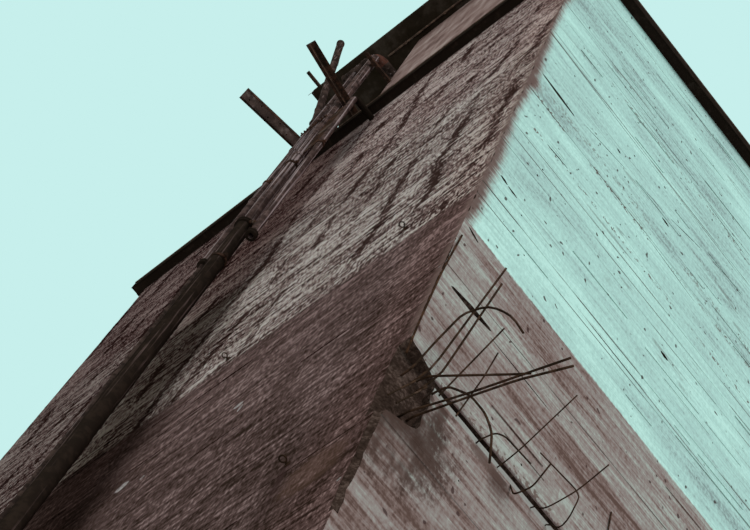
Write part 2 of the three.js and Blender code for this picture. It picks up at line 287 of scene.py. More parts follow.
class Concrete(Finish):
    """Concrete with streaks along its boards."""

    def __init__(self, name):
        super().__init__(name, specular=0.0)
        self.board = self.face_mark("board")
        self.joint = self.face_mark("joint")
        self.broad = self.noise(0.35, 0.35, 0.6, detail=2.0)
        self.strands = self.noise(1.7, 1.7, 14.0, detail=3.0, roughness=0.7)
        self.hair = self.noise(2.6, 2.6, 34.0, detail=2.0)
        self.speckle = self.noise(30.0, 30.0, 15.0, detail=2.0, roughness=0.7)
        self.grain = self.noise(55.0, 55.0, 55.0, detail=2.0)
        self.breaks = self.noise(1.3, 1.3, 1.1, detail=2.0)

    def leaning(self, thick, long, lean):
        """Noise drawn out down the wall, leaning as rain does when it is blown sideways."""
        leant = self.node("CombineXYZ", {}, {
            0: (self.x - self.z * lean) * thick, 1: (self.y - self.z * lean) * thick, 2: self.z * long})
        node = self.node("TexNoise", {}, {
            "Vector": leant.outputs[0], "Scale": 1.0, "Detail": 3.0, "Roughness": 0.6})
        return Amount(self, node.outputs[0])

    def line_of(self, pattern, wide):
        """A line that wanders wherever a pattern crosses its middle."""
        far = (pattern - 0.5).size() + (self.speckle - 0.5) * wide
        return self.between(far, wide, wide * 0.25)

    def rows(self, side, apart, wander):
        """Counts upright rows along the wall. The rows wander as they come down."""
        sway = self.noise(0.5, 0.5, 0.42, detail=2.0)
        return (side + self.z * ROW_LEAN) * (1.0 / apart) + (sway - 0.5) * wander

    def from_line(self, count):
        """Distance from the nearest whole number of a count, up to a half."""
        return self.maths("PINGPONG", count, 0.5)

    def blocks(self, count, level):
        """A tone of its own for each block between two whole counts and two levels."""
        block = self.node("CombineXYZ", {}, {
            0: self.maths("FLOOR", count), 1: self.maths("FLOOR", level)})
        node = self.node("TexWhiteNoise", {"noise_dimensions": "2D"}, {"Vector": block.outputs[0]})
        return Amount(self, node.outputs["Value"])

    def fibres(self, strands, hair, speckle):
        """Swing of the tone from what runs along the boards, and from the pores."""
        swing = (self.strands - 0.5) * strands + (self.hair - 0.5) * hair
        return swing + (self.speckle - 0.5) * speckle

    def threads(self, often, wide):
        """Broken dark lines that nearly follow the boards."""
        line = self.line_of(self.noise(0.16, 0.16, often, detail=1.0), wide)
        return line * self.between(self.breaks, 0.46, 0.54)

    def spot(self, side, middle, height, half_wide, half_high):
        """A patch with a ragged edge, round a point of the wall."""
        beside = (side - middle) * (1.0 / half_wide)
        above = (self.z - height) * (1.0 / half_high)
        far = beside * beside + above * above
        return self.between(far + self.fibres(1.6, 0.0, 1.6), 1.2, 0.4)

    def drip(self, side, middle, top, wide, long):
        """A stain that hangs down from a point and fades at its end."""
        off = (side - middle).size() + self.fibres(wide * 0.6, 0.0, wide * 0.6)
        fade = self.between(self.z, top - long, top) * self.between(self.z, top + 0.02, top)
        return self.between(off, wide, wide * 0.3) * fade

    def relief(self):
        """The height of the strands, hair and grain, for the bump."""
        return self.strands * 0.5 + self.hair * 0.3 + self.grain * 0.3

    def darken(self, colour, mask, dirt_and_shade=(0.042, 0.021, 0.020)):
        """Lays a dark colour over the colour where the mask is: dirt, and in the scar also painted shade."""
        return self.blend(mask.clamped(), colour, dirt_and_shade)

    def shade(self, colour, mask, share):
        """Multiplies the colour down to a share of itself where the mask is whole."""
        return self.blend(mask.clamped(), colour, share, way="MULTIPLY")


print("concrete helpers ready")

# %% [markdown]
# ## The shaded walls
# The front and left walls have pale boards above, with blocky patches and dark runs that
# come down from the roof, and purple-brown boards below. Behind the pipes is a wide dark
# band, partly a stain and partly the shadow of the pipes painted on. A colour ramp over one
# noise would look even and man-made, so a tone is first added up from streaks, patches and
# runs, and the ramp only turns it into a colour.

# %% Boards of the shaded walls
PALE_STOPS = [
    (0.0, (0.032, 0.016, 0.014)), (0.25, (0.112, 0.062, 0.059)), (0.5, (0.203, 0.128, 0.124)),
    (0.75, (0.288, 0.203, 0.198)), (1.0, (0.45, 0.370, 0.353))]
PURPLE_STOPS = [
    (0.0, (0.024, 0.013, 0.010)), (0.25, (0.053, 0.029, 0.026)), (0.5, (0.084, 0.047, 0.045)),
    (0.75, (0.126, 0.073, 0.071)), (1.0, (0.25, 0.155, 0.155))]
ROWS_APART = 0.60
ROWS_WANDER = 1.5
BLOCKS_TO_METRE = 1.9


def pale_boards(wall, across):
    """The upper boards: blocky pale patches, dark runs and leaning gashes."""
    patches = wall.noise(1.5, 1.5, 2.0, detail=3.0)
    ragged = wall.fibres(0.30, 0.0, 0.25) + (wall.board - 0.5) * 0.10
    zone = wall.band(wall.z, 14.4, 17.4, 0.8) * wall.band(across, 0.8, 3.5, 0.5)
    count = wall.rows(across + (wall.y - NEAR_Y), ROWS_APART, ROWS_WANDER)
    block = wall.blocks(count, wall.z * BLOCKS_TO_METRE + (patches - 0.5) * 1.2)
    patch = wall.between(patches * 0.6 + block * 0.25 + ragged + zone * 0.05, 0.43, 0.51)
    beside = wall.from_line(count) + wall.fibres(0.16, 0.0, 0.16)
    run_gap = wall.between(wall.noise(1.9, 1.9, 1.1, detail=3.0), 0.43, 0.57)
    runs = wall.between(beside, 0.180, 0.050) * run_gap
    gashes = wall.line_of(wall.leaning(3.4, 1.1, 0.20), 0.016) * wall.between(wall.breaks, 0.52, 0.42)
    tone = wall.fibres(3.0, 1.5, 4.8) + (patch - 0.5) * 0.34 + (wall.broad - 0.5) * 0.3 + 0.62
    tone = tone - runs * 0.85 - gashes * 0.60 - wall.threads(2.6, 0.020) * 0.45 - wall.joint * 0.55
    return wall.ramp(tone.clamped(), PALE_STOPS)


def purple_boards(wall, blotch):
    """The lower boards, which grow a little paler towards the upper ones."""
    tone = wall.fibres(1.5, 1.1, 2.3) + (blotch - 0.5) * 0.9 + (wall.broad - 0.5) * 0.5 + 0.44
    tone = tone + wall.between(wall.z, 12.2, 13.2) * 0.14 - wall.threads(3.5, 0.020) * 0.25
    tone = tone - wall.joint * 0.25
    return wall.ramp(tone.clamped(), PURPLE_STOPS)


print("boards of the shaded walls ready")

# %% Stains and painted shadow of the shaded walls
PALE_FROM = 14.00
PALE_BY = 14.12
# Distance from the near corner, top, width, length and strength of the drip at an eye bolt.
BOLT_DRIPS = [(0.76, 10.24, 0.05, 0.9, 0.8), (0.87, 14.34, 0.04, 0.6, 0.6)]


def shade_zones(wall, colour, across, blotch):
    """Darkens the near corner, the top, the far side, and the band behind the pipes, which is painted shadow
    of the pipes as well as a stain.
    """
    colour = wall.shade(colour, wall.between(across, 0.9, 0.2), (0.98, 0.91, 0.89))
    colour = wall.shade(colour, wall.between(wall.z, 17.8, 19.6), (0.97, 0.88, 0.89))
    edge = across + wall.fibres(0.9, 0.0, 0.4) + (blotch - 0.5) * 1.3
    # The band behind the pipes is painted shadow of the pipes as well as a stain.
    pipe_shadow_and_stain = wall.between(edge + wall.between(wall.z, 14.6, 13.4) * 0.25, 3.35, 4.10)
    pipe_shadow_and_stain = pipe_shadow_and_stain * wall.between(across, 5.6, 4.7)
    colour = wall.shade(colour, pipe_shadow_and_stain, (0.44, 0.36, 0.35))
    colour = wall.shade(colour, pipe_shadow_and_stain * wall.between(wall.z, 17.6, 17.0), (0.48, 0.52, 0.48))
    return wall.shade(colour, wall.between(across, 4.8, 5.7), (0.48, 0.42, 0.42))


def corner_marks(wall, colour, across):
    """The worn arris, a rusty patch below the pocket and the drips of two eye bolts."""
    worn = wall.between(across + wall.fibres(0.16, 0.0, 0.08), 0.11, 0.01) * wall.between(wall.z, 11.0, 11.6)
    colour = wall.blend(worn * 0.7, colour, (0.165, 0.098, 0.090))
    rusty = wall.spot(across, 0.42, 9.85, 0.28, 0.25)
    colour = wall.blend(rusty * 0.3, colour, (0.13, 0.066, 0.050))
    for middle, top, wide, long, strength in BOLT_DRIPS:
        colour = wall.darken(colour, wall.drip(across, middle, top, wide, long) * strength)
    return colour


def shaded_concrete(name):
    """The finish of the front and left walls. Its warm cast is partly painted shade."""
    wall = Concrete(name)
    across = NEAR_X - wall.x
    blotch = wall.leaning(5.0, 1.6, 0.10)
    turn = wall.z + (wall.board - 0.5) * 0.10 + (wall.broad - 0.5) * 0.3 + wall.fibres(0.2, 0.0, 0.1)
    pale = wall.between(turn, PALE_FROM, PALE_BY)
    colour = wall.blend(pale, purple_boards(wall, blotch), pale_boards(wall, across))
    colour = shade_zones(wall, colour, across, blotch)
    colour = corner_marks(wall, colour, across)
    return wall.done(colour, 0.85, wall.relief(), 0.008)


SHADED = shaded_concrete("shaded_board_concrete")
print("finish of the shaded walls:", SHADED.name)

# %% [markdown]
# ## The bright walls
# The right and back walls are pale green-grey above the joint of the two pours and rusty
# grey below it. Part of their green-blue cast is painted light, as they take the lit copy
# of the concrete. A ragged strip of dust follows the near corner, and the cut-off slab left
# crumbs, drips and a scar whose groove is dark with dirt and painted shade. The streaks
# are the same as before, but most marks have a place of their own here, so they are short
# lists of places that a loop draws.

# %% Boards of the bright walls
# The marks of these walls drop by this much with each metre from the near corner.
LINE_SLOPE = 0.036
GREEN_STOPS = [
    (0.0, (0.19, 0.235, 0.235)), (0.25, (0.28, 0.375, 0.365)), (0.5, (0.322, 0.448, 0.430)),
    (0.75, (0.352, 0.497, 0.472)), (1.0, (0.41, 0.57, 0.54))]
RUST_STOPS = [
    (0.0, (0.085, 0.048, 0.042)), (0.25, (0.150, 0.095, 0.089)), (0.5, (0.200, 0.148, 0.143)),
    (0.75, (0.238, 0.203, 0.194)), (1.0, (0.29, 0.285, 0.268))]
# Height, half width and strength of each band of crumbs.
CRUMB_BANDS = [(16.88, 0.045, 0.45), (16.13, 0.03, 0.45), (17.25, 0.07, 0.25), (19.54, 0.03, 0.4)]
# Height, start and end of each thin line. They start and end so far from the near corner.
THIN_LINES = [
    (18.80, 0.8, 3.4), (18.91, -0.2, 0.8), (18.76, -0.2, 1.0), (14.01, 1.2, 3.1), (16.27, 0.4, 0.8)]
# Distance from the near corner, width and length of each drip under the cut-off slab.
SLAB_DRIPS = [(0.04, 0.20, 1.7), (0.24, 0.13, 1.2), (0.42, 0.08, 0.7), (0.98, 0.12, 0.40)]
DRIPS_FROM = 10.82


def green_boards(wall, along, level, clouds, crumbs):
    """The upper boards, with bands of crumbs and thin dark lines."""
    tone = wall.fibres(1.2, 0.6, 1.1) + (clouds - 0.5) * 1.6 + (wall.broad - 0.5) * 1.0
    tone = tone + (wall.board - 0.5) * 0.08 + 0.46 + wall.between(wall.z, 17.0, 14.5) * 0.20
    colour = wall.ramp(tone.clamped(), GREEN_STOPS)
    for height, half, strength in CRUMB_BANDS:
        beside = wall.band(level, height - half, height + half, 0.02) * wall.between(wall.breaks, 0.40, 0.50)
        colour = wall.darken(colour, beside * crumbs * strength * 2.2, (0.11, 0.080, 0.073))
    colour = wall.darken(colour, wall.threads(2.6, 0.010) * 0.45, (0.11, 0.10, 0.095))
    for height, start, end in THIN_LINES:
        thin = wall.between((level - height).size() + wall.fibres(0.0, 0.0, 0.012), 0.016, 0.005)
        thin = thin * wall.between(along, start, start + 0.3) * wall.between(along, end, end - 0.3)
        colour = wall.darken(colour, thin * (0.5 + wall.breaks * 0.6), (0.080, 0.070, 0.066))
    return colour


def rusty_boards(wall, along, level, clouds):
    """The lower boards, with grime round the pocket and drips under the slab."""
    tone = wall.fibres(1.6, 0.9, 0.9) + (clouds - 0.5) * 1.2 + (wall.board - 0.5) * 0.22 + 0.53
    tone = tone + wall.band(level, 12.22, 12.66, 0.06) * 0.22
    tone = tone - wall.band(level, 11.78, 12.18, 0.05) * wall.between(along, 0.5, 1.0) * 0.28
    tone = tone - wall.between(wall.z, 10.1, 9.7) * 0.22 - wall.threads(6.0, 0.020) * 0.22
    colour = wall.ramp(tone.clamped(), RUST_STOPS)
    grime = wall.spot(along, 0.12, 10.30, 0.55, 0.75) * wall.between(wall.leaning(5.0, 2.0, 0.0), 0.36, 0.56)
    colour = wall.darken(colour, grime * 0.85, (0.048, 0.027, 0.023))
    near = wall.between(along + wall.fibres(0.5, 0.0, 0.2), 0.50, 0.16)
    under = wall.band(wall.z, 10.12, 10.50, 0.12) * near
    colour = wall.darken(colour, under * 0.85, (0.044, 0.025, 0.021))
    for middle, wide, long in SLAB_DRIPS:
        drip = wall.drip(along, middle, DRIPS_FROM, wide, long)
        colour = wall.darken(colour, drip * 0.85, (0.050, 0.028, 0.024))
    return wall.darken(colour, wall.spot(along, 0.82, 10.80, 0.20, 0.07) * 0.7, (0.085, 0.050, 0.044))


print("boards of the bright walls ready")

# %% Marks of the bright walls
GREEN_FROM = 13.255
GREEN_BY = 13.285


def dusty_corner(wall, colour, along, level):
    """The ragged strip of dust at the near corner, darker at its very edge."""
    teeth = wall.noise(0.8, 0.8, 22.0, detail=2.0)
    tooth = along + (teeth - 0.5) * 0.14 + (wall.broad - 0.5) * 0.22 + wall.fibres(0.0, 0.0, 0.05)
    tooth = tooth - wall.band(wall.z, 13.2, 14.1, 0.3) * 0.03 - wall.band(wall.z, 16.9, 17.2, 0.1) * 0.05
    high = wall.between(level, 13.24, 13.30)
    dusty = wall.ramp(wall.strands, [(0.3, (0.13, 0.075, 0.070)), (0.7, (0.225, 0.155, 0.148))])
    colour = wall.blend(wall.between(tooth, 0.15, 0.03) * high * 0.9, colour, dusty)
    return wall.blend(wall.between(tooth, 0.085, 0.01) * high * 0.75, colour, (0.090, 0.048, 0.043))


def slab_mark(wall, colour, along, crumbs):
    """What the cut-off slab left: crumbs above, a clean line below, and a dark groove in the scar, which is
    dirt and painted shade.
    """
    colour = wall.darken(colour, wall.band(wall.z, 11.0, 11.10, 0.02) * crumbs * 0.8, (0.10, 0.058, 0.050))
    clean = wall.band(wall.z, 10.862, 10.915, 0.006) * wall.between(wall.noise(1.4, 1.4, 3.0), 0.38, 0.48)
    colour = wall.blend(clean * wall.between(along, 0.25, 0.32) * 0.5, colour, (0.26, 0.265, 0.26))
    # The dark in the scar's groove is painted shade of the groove as well as dirt.
    return wall.darken(colour, wall.band(wall.z + (wall.speckle - 0.5) * 0.06, 10.925, 11.01, 0.02) * 0.8)


def lines_and_specks(wall, colour):
    """Broken dark lines in the joints between boards, and dark specks."""
    lined = wall.between(wall.joint + (wall.breaks - 0.5) * 3.0, 0.75, 1.15)
    colour = wall.darken(colour, lined * wall.between(wall.joint, 0.1, 0.3) * 0.8, (0.085, 0.068, 0.063))
    specks = wall.between(wall.noise(17.0, 17.0, 11.0, detail=0.0), 0.79, 0.83)
    return wall.darken(colour, specks * 0.85)


def bright_concrete(name):
    """The finish of the right and back walls. Its green-blue cast is partly painted light."""
    wall = Concrete(name)
    along = wall.y - NEAR_Y
    level = wall.z + along * LINE_SLOPE
    clouds = wall.noise(0.6, 0.6, 2.2, detail=3.0)
    crumbs = wall.between(wall.noise(26.0, 26.0, 22.0, detail=2.0), 0.52, 0.60)
    green = wall.between(level + wall.fibres(0.05, 0.0, 0.03), GREEN_FROM, GREEN_BY)
    lower = rusty_boards(wall, along, level, clouds)
    colour = wall.blend(green, lower, green_boards(wall, along, level, clouds, crumbs))
    colour = dusty_corner(wall, colour, along, level)
    colour = slab_mark(wall, colour, along, crumbs)
    colour = lines_and_specks(wall, colour)
    return wall.done(colour, 0.85, wall.relief(), 0.004)


BRIGHT = bright_concrete("bright_board_concrete")
print("finish of the bright walls:", BRIGHT.name)

# %% [markdown]
# ## Broken concrete
# Where a lump broke away, the stones of the mix show. Holes, slots and old breaks are dark
# with dirt and with painted shade in their hollows, and a fresh chip is pale, so one
# function makes both, from coarse noise and three colours.

# %% Broken concrete
def broken_concrete(name, dark, middle, pale):
    """The rough inside of a break, with small stones."""
    lump = Finish(name, specular=0.0)
    stones = lump.noise(28.0, 28.0, 28.0, detail=4.0, roughness=0.7)
    dirt_and_shade = lump.noise(5.0, 5.0, 5.0, detail=3.0)
    tone = (stones - 0.5) * 2.0 + (dirt_and_shade - 0.5) * 1.2 + 0.45
    colour = lump.ramp(tone.clamped(), [(0.0, dark), (0.5, middle), (1.0, pale)])
    return lump.done(colour, 0.9, stones, 0.015)


# The dark finish goes into holes, slots and old breaks: dirt, and painted shade in the hollows.
BROKEN = broken_concrete("broken_dark", (0.014, 0.008, 0.006), (0.036, 0.021, 0.017), (0.11, 0.070, 0.060))
FRESH = broken_concrete("broken_fresh", (0.19, 0.14, 0.14), (0.33, 0.27, 0.275), (0.45, 0.40, 0.40))
print("broken concrete made")

# %% [markdown]
# ## Rusted steel and old paint
# All the steel is dark: brown-black paint with rust under it, a little shinier where
# the paint is whole. Rust is a warm mottle, and long members carry pale streaks: wash
# marks, and on the pipes painted highlights too.

# %% Steel finishes
def old_steel(name, dark, rust, wash_and_highlight, streaks=(3.0, 3.0, 3.0), rusty=0.5, wash_and_highlight_from=0.58):
    """Dark painted steel, with rust patches and thin pale marks: wash marks, and along the pipes painted
    highlights.
    """
    steel = Finish(name, specular=0.0)
    patches = steel.noise(9.0, 9.0, 9.0, detail=4.0, roughness=0.65)
    wash_and_highlight_marks = steel.noise(*streaks, detail=4.0, roughness=0.6)
    colour = steel.blend(steel.between(patches, rusty - 0.08, rusty + 0.12), dark, rust)
    colour = steel.blend(steel.between(wash_and_highlight_marks, wash_and_highlight_from, wash_and_highlight_from + 0.14) * 0.8, colour, wash_and_highlight)
    return steel.done(colour, 0.55 + patches * 0.3, patches * 0.6 + wash_and_highlight_marks * 0.4, 0.002)


# On the pipes the pale streaks that run up and down are painted highlights as well as wash marks.
PIPE_PAINT = old_steel(
    "pipe_paint", (0.026, 0.016, 0.014), (0.062, 0.037, 0.032), (0.30, 0.21, 0.215), (34.0, 34.0, 0.5))
RISER_PAINT = old_steel(
    "riser_paint", (0.036, 0.021, 0.019), (0.085, 0.050, 0.046), (0.34, 0.245, 0.255), (34.0, 34.0, 0.45),
    wash_and_highlight_from=0.50)
JACKET_SKIN = old_steel(
    "jacket_skin", (0.014, 0.009, 0.007), (0.021, 0.013, 0.010), (0.12, 0.073, 0.070), (40.0, 40.0, 0.7))
BRACKET_RUST = old_steel(
    "bracket_rust", (0.024, 0.014, 0.011), (0.065, 0.030, 0.021), (0.10, 0.068, 0.060))
BAR_RUST = old_steel(
    "bar_rust", (0.022, 0.013, 0.009), (0.050, 0.026, 0.017), (0.085, 0.048, 0.036), (8.0, 8.0, 8.0))
ROD_RUST = old_steel(
    "rod_rust", (0.024, 0.013, 0.009), (0.055, 0.026, 0.016), (0.085, 0.046, 0.032), (8.0, 8.0, 8.0))
# Paler rust; on the bead of the roof edge it is partly a painted highlight.
LIP_RUST_AND_HIGHLIGHT = old_steel(
    "lip_rust_and_highlight", (0.060, 0.036, 0.029), (0.12, 0.070, 0.054), (0.17, 0.12, 0.10), (6.0, 6.0, 6.0))
# The web of the channel is paler: rust, and a painted highlight along it.
WEB_RUST_AND_HIGHLIGHT = old_steel(
    "web_rust_and_highlight", (0.085, 0.056, 0.052), (0.15, 0.098, 0.092), (0.30, 0.22, 0.215), (6.0, 6.0, 6.0),
    wash_and_highlight_from=0.52)
BEND_RUST = old_steel(
    "bend_rust", (0.060, 0.026, 0.021), (0.135, 0.050, 0.038), (0.18, 0.10, 0.09), (12.0, 12.0, 12.0))
# Near-black paint of the roof edges. On the collars and ends of the pipes it is painted shade.
EDGE_PAINT_AND_SHADE = old_steel(
    "edge_paint_and_shade", (0.014, 0.009, 0.007), (0.024, 0.015, 0.012), (0.040, 0.028, 0.024), (3.0, 3.0, 14.0),
    rusty=0.6)
print("steel finishes made")

# %% [markdown]
# ## The house and slab concrete
# The small house and the slabs were cast or rendered rougher than the shaft, without
# clear board marks, so their finish is blotchy and has runs that hang down.

# %% House and slab finish
def rough_concrete(name, dark, middle, pale):
    """Blotchy concrete with hanging runs."""
    wall = Finish(name, specular=0.0)
    blotch = wall.noise(2.2, 2.2, 2.2, detail=5.0, roughness=0.62)
    runs = wall.noise(7.0, 7.0, 0.8, detail=3.0)
    grain = wall.noise(45.0, 45.0, 45.0)
    tone = (blotch - 0.5) * 1.6 + (runs - 0.5) * 0.8 + 0.5
    colour = wall.ramp(tone.clamped(), [(0.1, dark), (0.5, middle), (0.9, pale)])
    return wall.done(colour, 0.88, blotch * 0.6 + grain * 0.3, 0.008)


HOUSE_RENDER = rough_concrete(
    "house_render", (0.085, 0.045, 0.041), (0.22, 0.13, 0.122), (0.36, 0.25, 0.238))
SLAB_CONCRETE = rough_concrete(
    "slab_concrete", (0.085, 0.055, 0.050), (0.15, 0.105, 0.098), (0.23, 0.18, 0.17))
# The canopy is near-black as painted shade: its underside lies in deep shade.
CANOPY_SHADE = rough_concrete(
    "canopy_shade", (0.012, 0.008, 0.005), (0.021, 0.014, 0.010), (0.050, 0.036, 0.030))
print("house and slab finishes made")

# %% [markdown]
# ## Give every solid its finish
# Every solid takes a finish by a word of its name, so none is left bare. The slabs and
# the house have the right shape and stay to the end. The others are replaced further on
# by a finer piece of the same size, which has its own finish.

# %% Finish by node name
FINISH_BY_WORD = {
    "slab_bar": BAR_RUST, "eye_bolt": BAR_RUST, "corner_rod": ROD_RUST, "_slab": SLAB_CONCRETE,
    "house_roof": CANOPY_SHADE, "house_": HOUSE_RENDER, "roof_edge": EDGE_PAINT_AND_SHADE,
    "jacketed_pipe": JACKET_SKIN, "riser_": PIPE_PAINT, "_pipe": PIPE_PAINT, "bracket": BRACKET_RUST,
    "_stub": BRACKET_RUST, "canopy_arm": BRACKET_RUST, "lower_": SHADED, "upper_": SHADED}


def dress(node):
    """Gives a solid the finish of the first word that its name holds."""
    finish = next(made for word, made in FINISH_BY_WORD.items() if word in node)
    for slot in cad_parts[node].material_slots:
        slot.material = finish


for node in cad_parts:
    dress(node)
print("solids dressed:", len(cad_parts))

# %% [markdown]
# ## Board courses in the shaft walls
# On the real wall each joint between boards is a thin groove or a step of a few
# millimetres. A bump map could fake it, but a groove that is really there catches the
# light from every side. So a wall starts as a low box on the solid's own footprint, and
# its top face is raised row by row to the solid's height. The rows at each joint are
# then pushed in, so a groove or a step is left. All four walls share the same joint
# heights, because the boards go round.

# %% Joint heights
random.seed(31)
noise.seed_set(31)
WALL_TOP = 22.5
BOARD_LOW = 0.105
BOARD_HIGH = 0.175
DEEP_JOINTS = [8.52, 10.12, 12.41, 13.85, 14.12, 15.20, 15.50, 15.76, 16.85, 18.75, 19.60, 20.10, 21.90]


def joint_heights():
    """Heights of all the board joints, from the ground to the roof."""
    heights = []
    height = 0.12
    while height < WALL_TOP - BOARD_LOW:
        heights.append(round(height, 4))
        height += random.uniform(BOARD_LOW, BOARD_HIGH)
    kept = [h for h in heights if min(abs(h - deep) for deep in DEEP_JOINTS) > BOARD_LOW * 0.5]
    return sorted(kept + DEEP_JOINTS)


JOINTS = joint_heights()
print("board joints:", len(JOINTS))

# %% Box and cutting helpers
def corners(node):
    """The lowest and the highest corner of a solid."""
    return [Vector(corner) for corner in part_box(node)]


def unit(axis):
    """A step of one metre along X, Y or Z."""
    return Vector(float(each == axis) for each in range(3))


def add_box(bm, low, high, finish=0):
    """A box between two corners, added to a mesh."""
    size = [b - a for a, b in zip(low, high)]
    middle = [(a + b) / 2 for a, b in zip(low, high)]
    place = Matrix.Translation(middle) @ Matrix.Diagonal((*size, 1.0))
    made = bmesh.ops.create_cube(bm, size=1.0, matrix=place)
    for face in {face for vert in made["verts"] for face in vert.link_faces}:
        face.material_index = finish


def box_mesh(low, high):
    """A closed box between two corners, as a new mesh."""
    bm = bmesh.new()
    add_box(bm, low, high)
    return bm


def slice_mesh(bm, point, normal, faces=None):
    """Cuts the mesh, or only some faces, along a plane and gives the touched faces back."""
    if faces is None:
        geometry = bm.verts[:] + bm.edges[:] + bm.faces[:]
    else:
        edges = {edge for face in faces for edge in face.edges}
        verts = {vert for face in faces for vert in face.verts}
        geometry = list(faces) + list(edges) + list(verts)
    cut = bmesh.ops.bisect_plane(bm, geom=geometry, dist=1e-5, plane_co=point, plane_no=normal)
    return [part for part in cut["geom"] if isinstance(part, bmesh.types.BMFace)]


def slice_evenly(bm, low, high, axis, count):
    """Cuts the mesh into so many equal parts along an axis."""
    for step in range(1, count):
        place = low[axis] + (high[axis] - low[axis]) * step / count
        slice_mesh(bm, unit(axis) * place, unit(axis))


SMOOTH_TO = 50


def as_piece(name, bm, finishes, replaces=(), smooth=False):
    """Turns a bmesh into a named piece that rides on the tower."""
    for face in bm.faces:
        face.smooth = smooth
    mesh = bpy.data.meshes.new(name)
    bm.to_mesh(mesh)
    bm.free()
    if smooth:
        mesh.set_sharp_from_angle(angle=math.radians(SMOOTH_TO))
    for finish in finishes:
        mesh.materials.append(finish)
    piece = link(bpy.data.objects.new(name, mesh))
    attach(piece, "root")
    if replaces:
        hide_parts(*replaces)
    return piece


print("mesh helpers ready")

# %% Cut a wall into courses
GROOVE_HALF = 0.003
DEEP_GROOVE_HALF = 0.009
GROOVE_DEEP = 0.001
DEEP_GROOVE = 0.008
PLAIN_MARK = 0.45
STEP_MOST = 0.0025
END_CLEAR = 0.03
COURSE_STEPS = [random.uniform(0.0, STEP_MOST) for _ in range(len(JOINTS) + 2)]


def half_groove(joint):
    """Half the width of the groove at a joint."""
    return DEEP_GROOVE_HALF if joint in DEEP_JOINTS else GROOVE_HALF


def raised_wall(low, high):
    """A box raised row by row, with a row at each edge and the bottom of each groove."""
    joints = [z for z in JOINTS if low.z + END_CLEAR < z < high.z - END_CLEAR]
    rows = [z + part * half_groove(z) for z in joints for part in (-1, 0, 1)] + [high.z]
    bm = box_mesh(low, (high.x, high.y, rows[0]))
    top = max(bm.faces, key=lambda face: face.calc_center_median().z)
    for below, above in zip(rows, rows[1:]):
        top = bmesh.ops.extrude_discrete_faces(bm, faces=[top])["faces"][0]
        bmesh.ops.translate(bm, verts=top.verts, vec=(0, 0, above - below))
    bmesh.ops.remove_doubles(bm, verts=bm.verts, dist=1e-6)
    return bm, joints


def course_of(limits, height):
    """Index of the course that holds a height."""
    return bisect.bisect_right(limits, height) - 1


def push_in(vert, amount):
    """Moves a point of an outer face into the wall."""
    if abs(abs(vert.co.x) - NEAR_X) < 0.02:
        vert.co.x -= math.copysign(amount, vert.co.x)
    if abs(abs(vert.co.y) + NEAR_Y) < 0.02:
        vert.co.y -= math.copysign(amount, vert.co.y)


def shape_courses(bm):
    """Pushes the joint rows in as grooves and shifts each course by a small step."""
    limits = [-1.0] + JOINTS + [WALL_TOP + 1.0]
    for vert in bm.verts:
        index = course_of(limits, vert.co.z + 1e-4)
        joint = min((limits[index], limits[index + 1]), key=lambda z: abs(z - vert.co.z))
        if abs(joint - vert.co.z) < GROOVE_HALF * 0.5:
            deep = DEEP_GROOVE if joint in DEEP_JOINTS else GROOVE_DEEP
            deep = deep * (0.75 + 0.9 * noise.noise(vert.co * 0.9))
        else:
            deep = 0.0015 * noise.noise(vert.co * 1.3)
        push_in(vert, max(0.0, deep + COURSE_STEPS[index]))


print("course steps:", len(COURSE_STEPS))

# %% Mark the boards
BOARD_LONG = (1.1, 3.4)
END_BOARD = 0.3


def board_ends(low, high):
    """Places of the upright joints between the boards of one course."""
    ends = []
    place = low + random.uniform(END_BOARD, BOARD_LONG[1])
    while place < high - END_BOARD:
        ends.append(place)
        place += random.uniform(*BOARD_LONG)
    return ends


def mark_boards(bm, joints, along, low, high):
    """Splits each course into boards of random length, and gives each board a tone."""
    tone = bm.faces.layers.float.new("board")
    groove = bm.faces.layers.float.new("joint")
    limits = [low.z] + joints + [high.z]
    courses = {}
    for face in bm.faces:
        if abs(face.normal.z) < 0.5:
            courses.setdefault(course_of(limits, face.calc_center_median().z), []).append(face)
    for _, faces in sorted(courses.items()):
        ends = board_ends(low[along], high[along])
        for end in ends:
            faces = slice_mesh(bm, unit(along) * end, unit(along), faces)
        tones = [random.random() for _ in range(len(ends) + 1)]
        for face in faces:
            middle = face.calc_center_median()
            face[tone] = tones[sum(1 for end in ends if end < middle[along])]
            joint = min(joints, key=lambda z: abs(z - middle.z))
            if abs(joint - middle.z) < half_groove(joint):
                face[groove] = 1.0 if joint in DEEP_JOINTS else PLAIN_MARK


print("boards are", BOARD_LONG, "metres long")

# %% Build the eight shaft walls
COLUMN_EVERY = 0.65


def boarded_wall(node):
    """A shaft wall with its board joints, in place of the plain solid."""
    low, high = corners(node)
    along = 0 if high.x - low.x > high.y - low.y else 1
    bm, joints = raised_wall(low, high)
    slice_evenly(bm, low, high, along, int((high[along] - low[along]) / COLUMN_EVERY))
    mark_boards(bm, joints, along, low, high)
    shape_courses(bm)
    bm.normal_update()
    # Faces that look to +X or +Y take the bright finish and the others the shaded one: lit and shaded copies
    # of the concrete, with a green-blue cast of painted light on the one and a warm cast of painted shade on
    # the other.
    for face in bm.faces:
        face.material_index = int(face.normal.x > 0.5 or face.normal.y > 0.5)
    return as_piece(node + "_boards", bm, (SHADED, BRIGHT, BROKEN, FRESH), (node,))


walls = {}
for storey in ("lower", "upper"):
    for side in ("front", "right", "back", "left"):
        walls[storey, side] = boarded_wall(f"{storey}_{side}_wall")
        print(storey, side, len(walls[storey, side].data.polygons), "faces")

# %% [markdown]
# ## Holes, slots and the broken corner
# Nail holes, slots, the broken pocket, the chipped arris and the scar of the lost slab
# are all places where concrete is gone. The plain way to make them is to model the lost
# lump and take it out of the wall with a Boolean. Small holes are stretched icospheres,
# and the lumps at the corner are boxes cut fine and shaken with a steady noise.

